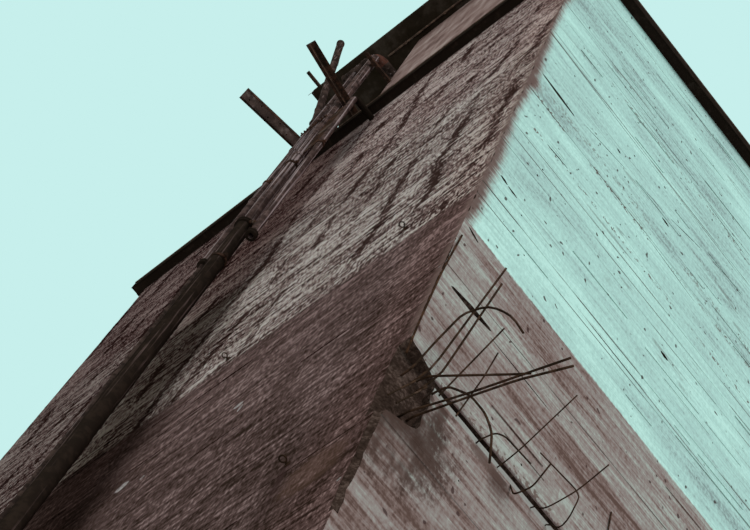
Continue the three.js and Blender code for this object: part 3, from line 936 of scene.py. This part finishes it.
# %% Lumps to take away
# Places of the broken and the fresh concrete in a wall's list of finishes.
PIT = 2
CHIP = 3
SHAKES_TO_METRE = 9.0


def add_pit(bm, centre, half, slope=0.0, finish=PIT):
    """A small stretched ball to take away: a nail hole, a slot or a chip."""
    place = Matrix.Translation(centre) @ Matrix.Rotation(slope, 4, "X") @ Matrix.Diagonal((*half, 1.0))
    ball = bmesh.ops.create_icosphere(bm, subdivisions=1, radius=1.0, matrix=place)
    for face in {face for vert in ball["verts"] for face in vert.link_faces}:
        face.material_index = finish


def add_slot(bm, start, end, wide, deep):
    """A slot in the right wall between two points: metres from the near corner, and height."""
    run = Vector(end) - Vector(start)
    middle = (Vector(start) + Vector(end)) / 2
    slope = math.atan2(run.y, run.x)
    add_pit(bm, (NEAR_X, NEAR_Y + middle.x, middle.y), (deep, run.length / 2, wide / 2), slope)


def shaken_box(low, high, cell, shake, turn=None):
    """A box cut into cells and shaken with noise, as the lump that broke away."""
    bm = box_mesh(low, high)
    for axis in range(3):
        slice_evenly(bm, low, high, axis, max(2, round((high[axis] - low[axis]) / cell)))
    if turn is not None:
        bmesh.ops.transform(bm, matrix=turn, verts=bm.verts)
    for vert in bm.verts:
        vert.co += noise.noise_vector(vert.co * SHAKES_TO_METRE) * shake
    for face in bm.faces:
        face.material_index = PIT
    return bm


def take_away(piece, lumps, overlapping=False):
    """Cuts lumps out of a piece, and keeps the result as its mesh."""
    mesh = bpy.data.meshes.new("lumps")
    lumps.to_mesh(mesh)
    lumps.free()
    cutter = link(bpy.data.objects.new("lumps", mesh))
    cut = piece.modifiers.new("take_away", "BOOLEAN")
    cut.operation = "DIFFERENCE"
    cut.solver = "EXACT"
    cut.use_self = overlapping
    cut.object = cutter
    whole = piece.evaluated_get(bpy.context.evaluated_depsgraph_get())
    result = bpy.data.meshes.new_from_object(whole)
    piece.modifiers.clear()
    piece.data = result
    bpy.data.objects.remove(cutter)


print("lump helpers ready")

# %% Take away the pocket, the arris and the scar
POCKET_MIDDLE = 10.66
POCKET_HALF = 0.32
POCKET_REACH = 0.30
POCKET_X = (3.79, 4.00)
ARRIS_LOW = 9.0
ARRIS_HIGH = 10.30
ARRIS_HALF = 0.030
SCAR_LOW = 10.918
SCAR_HIGH = 10.978
SCAR_DEEP = 0.033
PAST_WALL = 0.05


def pocket_lump():
    """The lump that broke out of the near corner. It is tallest and widest at the corner."""
    low = (POCKET_X[0], NEAR_Y - 0.08, POCKET_MIDDLE - POCKET_HALF)
    high = (POCKET_X[1], NEAR_Y + POCKET_REACH, POCKET_MIDDLE + POCKET_HALF)
    bm = shaken_box(low, high, 0.045, 0.028)
    for vert in bm.verts:
        near = 1.0 - (vert.co.y - NEAR_Y) / POCKET_REACH
        above = vert.co.z - POCKET_MIDDLE
        vert.co.z += (0.16 if above > 0 else -0.17) * max(0.0, near) * abs(above) / POCKET_HALF
        vert.co.x += 0.05 * (1.0 - near)
    return bm


def arris_lump():
    """The long chip off the near corner, below the pocket."""
    turn = Matrix.Translation((NEAR_X, NEAR_Y, 0)) @ Matrix.Rotation(math.radians(45), 4, "Z")
    low = (-ARRIS_HALF, -ARRIS_HALF, ARRIS_LOW)
    return shaken_box(low, (ARRIS_HALF, ARRIS_HALF, ARRIS_HIGH), 0.06, 0.014, turn)


def scar_lump():
    """The groove that the cut-off slab left along the right wall."""
    low = (NEAR_X - SCAR_DEEP, NEAR_Y - PAST_WALL, SCAR_LOW)
    return shaken_box(low, (NEAR_X + PAST_WALL, -NEAR_Y + PAST_WALL, SCAR_HIGH), 0.09, 0.012)


SIDES_OF_LUMP = {
    pocket_lump: ("front", "right"), arris_lump: ("front", "right"), scar_lump: ("front", "right", "back")}
for lump, sides in SIDES_OF_LUMP.items():
    for side in sides:
        take_away(walls["lower", side], lump())
    print(lump.__name__, "taken away")

# %% Take away slots and nail holes of the right wall
LIFT_JOINT = 13.1
# Start and end, each as metres from the near corner and height, then width and depth.
SLOTS = [
    ((0.07, 17.51), (0.69, 17.44), 0.075, 0.040), ((0.42, 16.13), (0.78, 16.16), 0.030, 0.020),
    ((0.04, 18.74), (2.20, 18.62), 0.016, 0.015), ((1.34, 13.95), (2.23, 13.95), 0.016, 0.015),
    ((1.82, 16.82), (2.70, 16.68), 0.018, 0.015), ((2.66, 19.55), (3.46, 19.43), 0.028, 0.018),
    ((0.08, 12.20), (0.60, 12.245), 0.090, 0.045), ((0.50, 12.16), (1.30, 12.135), 0.020, 0.018),
    ((0.05, 13.22), (0.20, 13.14), 0.040, 0.025), ((0.13, 14.56), (0.24, 14.52), 0.050, 0.025),
    ((0.23, 14.52), (0.37, 14.50), 0.040, 0.020), ((0.72, 17.53), (1.50, 17.75), 0.018, 0.012),
    ((1.52, 17.76), (2.08, 17.86), 0.016, 0.012), ((2.10, 17.87), (2.72, 18.14), 0.020, 0.012),
    ((2.74, 18.15), (3.40, 18.30), 0.016, 0.012), ((2.02, 17.68), (2.15, 17.64), 0.060, 0.035),
    ((2.25, 14.93), (2.37, 14.915), 0.070, 0.035), ((1.25, 17.97), (1.31, 17.92), 0.050, 0.030)]
# Metres from the near corner, and height.
NAIL_HOLES = [
    (0.47, 19.47), (0.48, 18.42), (0.22, 16.40), (0.87, 16.42), (0.50, 15.54), (0.47, 15.32),
    (0.84, 15.43), (0.46, 14.32), (1.44, 16.12), (1.51, 16.36), (1.83, 21.34), (1.61, 20.66),
    (1.47, 19.39), (0.94, 18.39), (1.50, 18.32), (2.21, 18.27), (2.22, 19.29), (2.79, 19.25),
    (2.34, 19.21), (0.97, 19.40)]
MORE_HOLES = 34
# Metres from the near corner, height, half width and half height of a chip in the front wall.
CHIPS = [
    (3.29, 12.43, 0.085, 0.075), (2.99, 12.29, 0.030, 0.035), (2.03, 12.44, 0.060, 0.040),
    (1.97, 12.33, 0.025, 0.070), (0.045, 12.853, 0.015, 0.020), (0.05, 12.386, 0.015, 0.020),
    (0.08, 9.392, 0.020, 0.020)]
CHIP_DEEP = 0.018
KEEP_APART = 0.12
ARRIS_NICKS = 30
NICKS_FROM = 11.3


def spread_holes():
    """Random nail holes of the right wall that stay clear of the slots and of each other."""
    taken = NAIL_HOLES + [
        (start[0] + (end[0] - start[0]) * part, start[1] + (end[1] - start[1]) * part)
        for start, end, _, _ in SLOTS for part in (0.0, 0.25, 0.5, 0.75, 1.0)]
    made = []
    while len(made) < MORE_HOLES:
        spot = (random.uniform(0.5, 7.6), random.uniform(8.6, 22.2))
        if min(math.dist(spot, other) for other in taken + made) > KEEP_APART:
            made.append(spot)
    return made


HOLES = [(along, height, random.uniform(0.006, 0.013)) for along, height in NAIL_HOLES + spread_holes()]


def hole_lumps(low, high):
    """Slots, nail holes and chips whose middle lies between two heights."""
    bm = bmesh.new()
    for start, end, wide, deep in SLOTS:
        if low < (start[1] + end[1]) / 2 < high:
            add_slot(bm, start, end, wide, deep)
    for along, height, size in HOLES:
        if low < height < high:
            add_pit(bm, (NEAR_X, NEAR_Y + along, height), (0.025, size, size * 1.6))
    for across, height, half_wide, half_high in CHIPS:
        if low < height < high:
            add_pit(bm, (NEAR_X - across, NEAR_Y, height), (half_wide, CHIP_DEEP, half_high), finish=CHIP)
    return bm


def nick_lumps(low, high):
    """Small knocks along the near corner."""
    bm = bmesh.new()
    for _ in range(ARRIS_NICKS):
        half = (random.uniform(0.006, 0.014), random.uniform(0.006, 0.014), random.uniform(0.02, 0.09))
        add_pit(bm, (NEAR_X, NEAR_Y, random.uniform(low + 0.2, high - 0.2)), half)
    return bm


for storey, low, high in (("lower", 0.0, LIFT_JOINT - 0.05), ("upper", LIFT_JOINT + 0.02, WALL_TOP)):
    for side in ("right", "front"):
        take_away(walls[storey, side], hole_lumps(low, high), overlapping=True)
    take_away(walls[storey, "front"], nick_lumps(max(low, NICKS_FROM), high), overlapping=True)
    print(storey, "holes and nicks taken away")

# %% [markdown]
# ## Pipes
# A pipe could be a curve with a bevel, but its flanges, couplings and open foot need a
# mesh. So a pipe starts as one disc, and the disc is extruded from place to place along
# its route. Each place has its own radius, so a coupling or a flange is only two more
# places close together, and the whole pipe is one closed skin.

# %% Swept bodies
def swept(bm, points, radii, sides=8):
    """Extrudes a disc along a route, free of twist, and gives its two end faces."""
    points = [Vector(point) for point in points]
    if not isinstance(radii, list):
        radii = [radii] * len(points)
    side = (points[1] - points[0]).normalized().orthogonal().normalized()
    places = []
    for index, (point, radius) in enumerate(zip(points, radii)):
        ahead = (points[min(index + 1, len(points) - 1)] - points[max(index - 1, 0)]).normalized()
        side = (side - ahead * side.dot(ahead)).normalized()
        turn = Matrix((side, ahead.cross(side), ahead)).transposed().to_4x4()
        places.append(Matrix.Translation(point) @ turn @ Matrix.Diagonal((radius, radius, 1.0, 1.0)))
    old = set(bm.faces)
    made = bmesh.ops.create_circle(bm, cap_ends=True, radius=1.0, segments=sides, matrix=places[0])
    last = made["verts"][0].link_faces[0]
    for here, there in zip(places, places[1:]):
        last = bmesh.ops.extrude_discrete_faces(bm, faces=[last])["faces"][0]
        bmesh.ops.transform(bm, matrix=there @ here.inverted(), verts=last.verts)
    rim = [edge for edge in bm.edges if edge.is_boundary]
    first = bmesh.ops.contextual_create(bm, geom=rim)["faces"][0]
    bmesh.ops.recalc_face_normals(bm, faces=[face for face in bm.faces if face not in old])
    return first, last


def turned(bm, start, axis, profile, sides=32):
    """A straight turned body, from pairs of distance along its axis and radius."""
    axis = Vector(axis).normalized()
    places = [Vector(start) + axis * far for far, _ in profile]
    return swept(bm, places, [radius for _, radius in profile], sides)


def rounded(points, reach, steps=6):
    """The route with each corner rounded."""
    points = [Vector(point) for point in points]
    route = [points[0]]
    for before, corner, after in zip(points, points[1:], points[2:]):
        near = min(reach, (corner - before).length * 0.45, (after - corner).length * 0.45)
        start = corner + (before - corner).normalized() * near
        end = corner + (after - corner).normalized() * near
        for step in range(steps + 1):
            part = step / steps
            route.append(start.lerp(corner, part).lerp(corner.lerp(end, part), part))
    return route + [points[-1]]


FLANGE_BOLTS = 8


def add_nut(bm, place, axis, size):
    """A hexagon head with a stub of its bolt."""
    turned(bm, place, axis, [(-0.001, size), (size, size), (size * 1.15, size * 0.85)], 6)
    turned(bm, place, axis, [(0.0, size * 0.5), (size * 1.7, size * 0.5)], 8)


def add_bolt_circle(bm, middle, axis, circle, size):
    """Hexagon heads set round a circle."""
    axis = Vector(axis).normalized()
    arm = axis.orthogonal().normalized() * circle
    for step in range(FLANGE_BOLTS):
        spoke = Matrix.Rotation(math.tau * step / FLANGE_BOLTS, 3, axis) @ arm
        add_nut(bm, Vector(middle) + spoke, axis, size)


print("sweep helpers ready")

# %% Straight pipes
JOIN_HALF = 0.030
JOIN_EDGE = 0.005
COLLAR_LONG = 0.09


def coupled(first, last, radius, every, proud):
    """Profile of a straight pipe with a coupling at each join."""
    profile = [(first, radius)]
    join = first + every
    while join < last - 0.3:
        profile += [(join - JOIN_HALF - JOIN_EDGE, radius), (join - JOIN_HALF, radius + proud)]
        profile += [(join + JOIN_HALF, radius + proud), (join + JOIN_HALF + JOIN_EDGE, radius)]
        join += every
    return profile + [(last, radius)]


def foot_collar(radius, collar):
    """Profile of a bolted pair of flanges at the foot of a pipe."""
    return [
        (0.0, collar - 0.002), (0.002, collar), (0.038, collar), (0.041, collar - 0.012),
        (0.049, collar - 0.012), (0.052, collar), (0.078, collar), (0.080, radius + 0.008),
        (0.088, radius + 0.006)]


def straight_pipe(node, finish, radius, every, proud, collar=0.0):
    """An upright pipe in place of its solid. A collar at its foot is bolted, and near-black as painted shade
    under its flanges.
    """
    low, high = corners(node)
    foot = Vector(((low.x + high.x) / 2, (low.y + high.y) / 2, low.z))
    bm = bmesh.new()
    profile = coupled(COLLAR_LONG if collar else 0.0, high.z - low.z, radius, every, proud)
    if collar:
        profile = foot_collar(radius, collar) + profile
        add_bolt_circle(bm, foot + Vector((0, 0, 0.078)), (0, 0, 1), (collar + radius) / 2 + 0.004, 0.009)
    turned(bm, foot, (0, 0, 1), profile)
    # The collar takes the near-black finish: painted shade of the flanges, seen from below.
    for face in bm.faces:
        face.material_index = int(collar > 0 and face.calc_center_median().z < low.z + 0.1)
    as_piece(node + "_smooth", bm, (finish, EDGE_PAINT_AND_SHADE), (node,), smooth=True)


straight_pipe("feed_pipe", PIPE_PAINT, radius=0.029, every=3.0, proud=0.007)
straight_pipe("jacketed_pipe", JACKET_SKIN, radius=0.086, every=8.60, proud=0.004)
straight_pipe("riser_a", RISER_PAINT, radius=0.045, every=1.9, proud=0.009, collar=0.065)
straight_pipe("riser_b", RISER_PAINT, radius=0.068, every=2.3, proud=0.011, collar=0.108)
print("straight pipes made")

# %% Bent pipes
OVERFLOW_TOP = 22.25
OVERFLOW_RADIUS = 0.043
OVERFLOW_WALL = 0.009
OVERFLOW_BORE_DEEP = 0.25
FLANGE = 0.063
HEADER_RADIUS = 0.079
HEADER_TURN_X = 0.0197
HEADER_BEND = 0.16
HEADER_SLEEVES = (-0.24, -0.19)
VENT_RADIUS = 0.055
VENT_KNEE = 0.15
VENT_TOP = 25.85
VENT_OUT = 0.44


def overflow_pipe():
    """The overflow: an open flanged foot, a long drop, and a bend into the wall."""
    low, high = corners("overflow_pipe")
    x, y = (low.x + high.x) / 2, low.y + FLANGE
    foot = foot_collar(OVERFLOW_RADIUS, FLANGE)
    drop = rounded([
        (x, y, low.z + 0.12), (x, y, OVERFLOW_TOP), (x, NEAR_Y - 0.0003, OVERFLOW_TOP)], 0.07)
    places = [Vector((x, y, low.z + up)) for up, _ in foot] + drop
    radii = [radius for _, radius in foot] + [OVERFLOW_RADIUS] * len(drop)
    bm = bmesh.new()
    mouth, _ = swept(bm, places, radii, 32)
    bmesh.ops.inset_individual(bm, faces=[mouth], thickness=FLANGE - OVERFLOW_RADIUS + OVERFLOW_WALL)
    bore = bmesh.ops.extrude_discrete_faces(bm, faces=[mouth])["faces"][0]
    bmesh.ops.translate(bm, verts=bore.verts, vec=(0, 0, OVERFLOW_BORE_DEEP))
    add_bolt_circle(bm, (x, y, low.z + 0.076), (0, 0, 1), 0.0535, 0.006)
    # The flanged foot and the bend into the wall take the near-black finish: painted shade.
    for face in bm.faces:
        face.material_index = int(not low.z + 0.12 < face.calc_center_median().z < OVERFLOW_TOP - 0.1)
    finishes = (RISER_PAINT, EDGE_PAINT_AND_SHADE)
    as_piece("overflow_pipe_smooth", bm, finishes, ("overflow_pipe",), smooth=True)


def header_pipe():
    """The header: it lies on the risers, turns back beside the house and goes down."""
    low, high = corners("header_pipe")
    y, z = low.y + HEADER_RADIUS, high.z - HEADER_RADIUS
    back = high.y - HEADER_RADIUS
    bm = bmesh.new()
    route = [(low.x, y, z), (HEADER_TURN_X, y, z), (HEADER_TURN_X, back, z), (HEADER_TURN_X, back, low.z)]
    swept(bm, rounded(route, HEADER_BEND, 8), HEADER_RADIUS, 32)
    for x in (low.x, *HEADER_SLEEVES):
        turned(bm, (x, y, z), (1, 0, 0), [(0.0, 0.086), (0.002, 0.088), (0.026, 0.088), (0.028, 0.086)])
    add_bolt_circle(bm, (low.x, y, z), (-1, 0, 0), 0.062, 0.008)
    for face in bm.faces:
        middle = face.calc_center_median()
        face.material_index = int(middle.x > HEADER_TURN_X - 0.13 and middle.y < y + HEADER_BEND)
    finishes = (PIPE_PAINT, BEND_RUST)
    as_piece("header_pipe_smooth", bm, finishes, ("header_pipe",), smooth=True)


def vent_pipe():
    """The leaning vent, with a collar where it starts to lean and a plain rim."""
    low, high = corners("vent_pipe")
    start = Vector(((low.x + high.x) / 2, high.y - VENT_RADIUS, low.z))
    knee = start + Vector((0, 0, VENT_KNEE))
    end = Vector((start.x, start.y - VENT_OUT, VENT_TOP))
    lean = (end - knee).normalized()
    bm = bmesh.new()
    swept(bm, rounded([start, knee, end], 0.06), VENT_RADIUS, 24)
    for far in (0.30, 1.55, (end - knee).length - 0.05):
        turned(bm, knee + lean * far, lean, [(0.0, 0.059), (0.004, 0.061), (0.046, 0.061), (0.05, 0.059)], 24)
    as_piece("vent_pipe_smooth", bm, (PIPE_PAINT,), ("vent_pipe",), smooth=True)


overflow_pipe()
header_pipe()
vent_pipe()
print("bent pipes made")

# %% Clamps and small parts on the pipes
PIPE_Y = -4.35
RISER_A_X = -0.415
RISER_B_X = -0.012
OVERFLOW_X = 0.46
CLAMPS = [
    (RISER_B_X, 0.088, 17.25), (RISER_B_X, 0.070, 20.30), (RISER_A_X, 0.045, 20.30),
    (OVERFLOW_X, 0.043, 20.30)]
CLAMP_HIGH = 0.05
STRIP_LOW = 20.7
STRIP_HIGH = 22.27
CLIP_Z = 21.945
CLIP_FRONT = PIPE_Y - 0.078


def pipe_clamps():
    """Two-part clamps with bolted ears, a stay, a flat strip and a rail with nine bolts."""
    bm = bmesh.new()
    for x, radius, z in CLAMPS:
        outer = radius + 0.010
        turned(bm, (x, PIPE_Y, z), (0, 0, 1), [(0.0, outer), (CLAMP_HIGH, outer)], 24)
        for way in (-1, 1):
            ear = x + way * (outer + 0.018)
            add_box(bm, (ear - 0.022, PIPE_Y - 0.012, z), (ear + 0.022, PIPE_Y + 0.012, z + CLAMP_HIGH))
            for out in (-1, 1):
                add_nut(bm, (ear, PIPE_Y + out * 0.012, z + CLAMP_HIGH / 2), (0, out, 0), 0.009)
    stay = [(RISER_B_X + 0.10, PIPE_Y, 18.28), (0.30, PIPE_Y, 17.95), (OVERFLOW_X - 0.05, PIPE_Y, 17.36)]
    swept(bm, rounded(stay, 0.1), 0.020, 10)
    strip = (RISER_B_X + 0.04, PIPE_Y - 0.004, STRIP_LOW), (OVERFLOW_X - 0.02, PIPE_Y + 0.004, STRIP_HIGH)
    add_box(bm, *strip)
    add_box(bm, (-0.34, CLIP_FRONT, CLIP_Z - 0.025), (0.12, CLIP_FRONT + 0.012, CLIP_Z + 0.025))
    for step in range(9):
        add_nut(bm, (-0.31 + step * 0.05, CLIP_FRONT, CLIP_Z), (0, -1, 0), 0.013)
    as_piece("pipe_clamps", bm, (BRACKET_RUST,))


pipe_clamps()
print("clamps made")

# %% [markdown]
# ## Roof edge and rolled steel
# The roof edge is a folded strip with a groove below, a bead along its top whose paler rust
# is partly a painted highlight, and a cover over each seam. Its outline is one face of a few
# points, extruded along the roof.
# The channel, the tee and the brackets start from a merged copy of their solids, so they
# stay in place. Their edges are rounded, and the channel gets the holes of its web.

# %% Roof edges
EDGE_SEAM = 1.95
BEAD = 0.010
RIVETS_UP = (0.04, 0.09, 0.14)


def roof_edge(node, along, way):
    """A folded edge strip. Along is the axis it runs on, way the side it faces."""
    low, high = corners(node)
    across = 1 - along
    wall_side = low[across] if way > 0 else high[across]
    out, tall = high[across] - low[across], high.z - low.z
    section = [
        (0.0, 0.0), (0.012, 0.0), (0.014, 0.010), (out - 0.014, 0.010), (out - 0.012, 0.0), (out, 0.0),
        (out, tall - 0.020), (out + BEAD, tall - 0.016), (out + BEAD, tall - 0.002), (out, tall), (0.0, tall)]

    def point(place, away, up):
        spot = Vector((0.0, 0.0, low.z + up))
        spot[along] = place
        spot[across] = wall_side + way * away
        return spot

    bm = bmesh.new()
    end = bm.faces.new([bm.verts.new(point(low[along], *corner)) for corner in section])
    other = bmesh.ops.extrude_face_region(bm, geom=[end])["geom"]
    moved = [part for part in other if isinstance(part, bmesh.types.BMVert)]
    bmesh.ops.translate(bm, verts=moved, vec=unit(along) * (high[along] - low[along]))
    bmesh.ops.recalc_face_normals(bm, faces=bm.faces)
    # The bead along the top takes the paler rust, partly a painted highlight on the edge.
    for face in bm.faces:
        middle = face.calc_center_median()
        if abs(middle[across] - wall_side) > out - 0.001 and middle.z > high.z - 0.019:
            face.material_index = 1
    seam = low[along] + EDGE_SEAM
    while seam < high[along] - 0.5:
        cover = [point(seam - 0.03, out - 0.002, 0.002), point(seam + 0.03, out + 0.004, tall - 0.022)]
        add_box(bm, [min(pair) for pair in zip(*cover)], [max(pair) for pair in zip(*cover)])
        for up in RIVETS_UP:
            turned(bm, point(seam, out + 0.003, up), unit(across) * way, [(0.0, 0.006), (0.004, 0.004)], 8)
        seam += EDGE_SEAM
    as_piece(node + "_folded", bm, (EDGE_PAINT_AND_SHADE, LIP_RUST_AND_HIGHLIGHT), (node,))


roof_edge("front_roof_edge", 0, -1)
roof_edge("back_roof_edge", 0, 1)
roof_edge("right_roof_edge", 1, 1)
roof_edge("left_roof_edge", 1, -1)
print("roof edges made")

# %% Channel, tee, arm and brackets
WEB_HOLE = 0.012
WEB_HOLE_TOP = 0.0265
WEB_HOLES = 7
WEB_HOLE_SIDE = 0.028
CHANNEL_ROOT = Vector((-0.67, -3.5))
CHANNEL_RUN = Vector((-0.24, -1.774))


def merged_copy(node):
    """A copy of a solid's mesh, with its loose triangles joined."""
    bm = bmesh.new()
    bm.from_mesh(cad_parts[node].data)
    bmesh.ops.remove_doubles(bm, verts=bm.verts, dist=1e-5)
    for face in bm.faces:
        face.material_index = 0
    return bm


def flat_copy(node):
    """A merged copy whose flat faces are whole."""
    bm = merged_copy(node)
    bmesh.ops.dissolve_limit(bm, angle_limit=0.02, verts=bm.verts, edges=bm.edges)
    return bm


def soften(bm, amount):
    """Rounds the edges of a mesh."""
    sharp = [edge for edge in bm.edges if edge.calc_face_angle(0.0) > 0.5]
    bmesh.ops.bevel(bm, geom=sharp, offset=amount, segments=2, affect="EDGES", profile=0.5, material=-1)


def channel_stub():
    """The channel, with a row of holes in its web. The web is paler: rust, and a painted highlight."""
    bm = flat_copy("channel_stub")
    low, high = corners("channel_stub")
    # The faces of the web take the paler finish, a painted highlight as well as rust.
    for face in bm.faces:
        if face.normal.z < -0.9 and face.calc_center_median().z > low.z + 0.03:
            face.material_index = 1
    soften(bm, 0.002)
    finishes = (BRACKET_RUST, WEB_RUST_AND_HIGHLIGHT)
    piece = as_piece("channel_stub_rounded", bm, finishes, ("channel_stub",))
    holes = bmesh.new()
    for step in range(WEB_HOLES):
        spot = CHANNEL_ROOT + CHANNEL_RUN * (0.36 + step * 0.095)
        offset = WEB_HOLE_SIDE if step % 2 else -WEB_HOLE_SIDE
        place = (spot.x + offset, spot.y, high.z - 0.03)
        turned(holes, place, (0, 0, 1), [(0.0, WEB_HOLE), (WEB_HOLE_TOP, WEB_HOLE)], 12)
    take_away(piece, holes)


def tee_stub():
    """The tee, with a paler lower edge on its stem."""
    bm = flat_copy("tee_stub")
    low = corners("tee_stub")[0]
    for face in bm.faces:
        if face.normal.z < -0.9 and face.calc_center_median().z < low.z + 0.01:
            face.material_index = 1
    soften(bm, 0.0015)
    as_piece("tee_stub_rounded", bm, (BRACKET_RUST, LIP_RUST_AND_HIGHLIGHT), ("tee_stub",))


def canopy_arm():
    """The short arm under the canopy: two flats with a spacer between them."""
    low, high = corners("canopy_arm")
    bm = bmesh.new()
    for start, end, lift, finish in ((0.0, 0.017, 0.0, 0), (0.033, 0.050, 0.0, 0), (0.016, 0.034, 0.014, 1)):
        add_box(bm, (low.x + start, low.y, low.z + lift), (low.x + end, high.y, high.z), finish)
    for y in (low.y + 0.04, high.y - 0.04):
        add_nut(bm, (low.x + 0.025, y, low.z + 0.014), (0, 0, -1), 0.009)
    as_piece("canopy_arm_flats", bm, (BRACKET_RUST, LIP_RUST_AND_HIGHLIGHT), ("canopy_arm",))


def pipe_bracket(node):
    """A wall bracket with softened edges and a nut at each end of its bar."""
    bm = flat_copy(node)
    low, high = corners(node)
    soften(bm, 0.003)
    for x in (low.x + 0.03, high.x - 0.03):
        add_nut(bm, (x, low.y + 0.002, (low.z + high.z) / 2), (0, -1, 0), 0.014)
    as_piece(node + "_rounded", bm, (BRACKET_RUST,), (node,))


channel_stub()
tee_stub()
canopy_arm()
for node in ("pipe_bracket_1", "pipe_bracket_2", "pipe_bracket_3", "top_bracket"):
    pipe_bracket(node)
print("channel, tee, arm and brackets made")

# %% [markdown]
# ## Bars, wires and bolts
# The bars of the lost slab that bend into the air are solids already. They are copied
# only to shade them as round. The thin ones that lie close to the wall are added here,
# with loose wires at the top, a conduit under the canopy and washers at the eye bolts.

# %% Round bars of the solids
for node in sorted(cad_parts):
    if node.startswith(("slab_bar_", "corner_rod", "eye_bolt_")):
        finish = ROD_RUST if node == "corner_rod" else BAR_RUST
        as_piece(node + "_round", merged_copy(node), (finish,), (node,), smooth=True)
print("bars shaded as round")

# %% Thin bars and wires
# Each point is a distance out of the right wall, one from the near corner, and a height.
THIN_BARS = [
    [(0.0, 0.35, 10.89), (0.35, 0.41, 11.57)],
    [(0.0, 0.52, 10.89), (0.12, 0.54, 11.34), (0.20, 0.53, 11.59)],
    [(-0.01, 0.73, 10.86), (0.03, 0.73, 10.88), (0.12, 0.76, 10.92), (0.16, 0.81, 10.91),
     (0.20, 1.03, 10.85)],
    [(0.35, 1.06, 10.75), (0.20, 1.09, 10.66), (0.12, 1.09, 10.68), (0.05, 1.08, 10.69),
     (-0.01, 1.08, 10.87)],
    [(0.008, 0.016, 10.336), (0.012, 0.168, 10.805)],
    [(0.008, 0.089, 10.349), (0.012, 0.238, 10.806)],
    [(0.006, 1.979, 11.81), (0.010, 1.972, 11.569)]]
LOOSE_WIRES = [
    [(-0.46, -4.79, 25.83), (-0.40, -4.74, 25.40), (-0.43, -4.62, 24.90)],
    [(-1.80, -4.37, 27.06), (-1.84, -4.40, 26.90), (-1.80, -4.41, 26.72)]]
THIN_RADIUS = 0.006
WIRE_RADIUS = 0.0035

bm = bmesh.new()
for bar in THIN_BARS:
    points = [(NEAR_X + out, NEAR_Y + along, z) for out, along, z in bar]
    swept(bm, rounded(points, 0.06), THIN_RADIUS)
as_piece("thin_bars", bm, (BAR_RUST,), smooth=True)
bm = bmesh.new()
for wire in LOOSE_WIRES:
    swept(bm, rounded(wire, 0.1), WIRE_RADIUS, 6)
as_piece("loose_wires", bm, (BRACKET_RUST,), smooth=True)
print("thin bars:", len(THIN_BARS), "wires:", len(LOOSE_WIRES))

# %% Washers of the eye bolts
bm = bmesh.new()
for number in (1, 2, 3):
    low, high = corners(f"eye_bolt_{number}")
    root = ((low.x + high.x) / 2, NEAR_Y + 0.004, (low.z + high.z) / 2)
    turned(bm, root, (0, -1, 0), [(0.0, 0.026), (0.008, 0.026), (0.009, 0.024)], 20)
    turned(bm, root, (0, -1, 0), [(0.002, 0.013), (0.018, 0.013)], 6)
as_piece("eye_bolt_washers", bm, (BAR_RUST,))
print("washers made")

# %% Conduit under the canopy
CONDUIT_Y = -4.095
CONDUIT_Z = 27.03
CONDUIT_X = -0.46
CONDUIT_LONG = 3.0

bm = bmesh.new()
turned(bm, (CONDUIT_X, CONDUIT_Y, CONDUIT_Z), (1, 0, 0), [(0.0, 0.016), (CONDUIT_LONG, 0.016)], 12)
for step in range(4):
    x = CONDUIT_X + 0.35 + step * 0.8
    add_box(bm, (x, CONDUIT_Y - 0.02, CONDUIT_Z - 0.02), (x + 0.03, CONDUIT_Y + 0.02, 27.0503))
as_piece("canopy_conduit", bm, (LIP_RUST_AND_HIGHLIGHT,))
print("conduit made")

# %% [markdown]
# ## Grout fins
# Where two boards did not close, grout leaked out and set as a thin ridge. A bump would
# not show at the edge of a wall, so each fin is a flat box that starts just inside it.
# They are all one mesh, because nobody would handle them one by one.

# %% Grout fins
FINS = 220
FIN_HEIGHTS = (8.0, 22.3)
POCKET_HEIGHTS = (10.10, 11.28)


def grout_fins():
    """Thin ridges where grout leaked between two boards, on the front and right walls."""
    bm = bmesh.new()
    reached = [z for z in JOINTS if FIN_HEIGHTS[0] < z < FIN_HEIGHTS[1]]
    open_joints = [z for z in reached if not POCKET_HEIGHTS[0] < z < POCKET_HEIGHTS[1]]
    for number in range(FINS):
        z = random.choice(open_joints)
        start = random.uniform(0.4, 6.5)
        end = start + random.uniform(0.15, 0.9)
        out, half = random.uniform(0.003, 0.007), random.uniform(0.0015, 0.004)
        if number % 2:
            add_box(bm, (NEAR_X - end, NEAR_Y - out, z - half), (NEAR_X - start, NEAR_Y + 0.006, z + half), 1)
        else:
            add_box(bm, (NEAR_X - 0.006, NEAR_Y + start, z - half), (NEAR_X + out, NEAR_Y + end, z + half), 0)
    return as_piece("grout_fins", bm, (BRIGHT, SHADED))


grout_fins()
print("grout fins made")
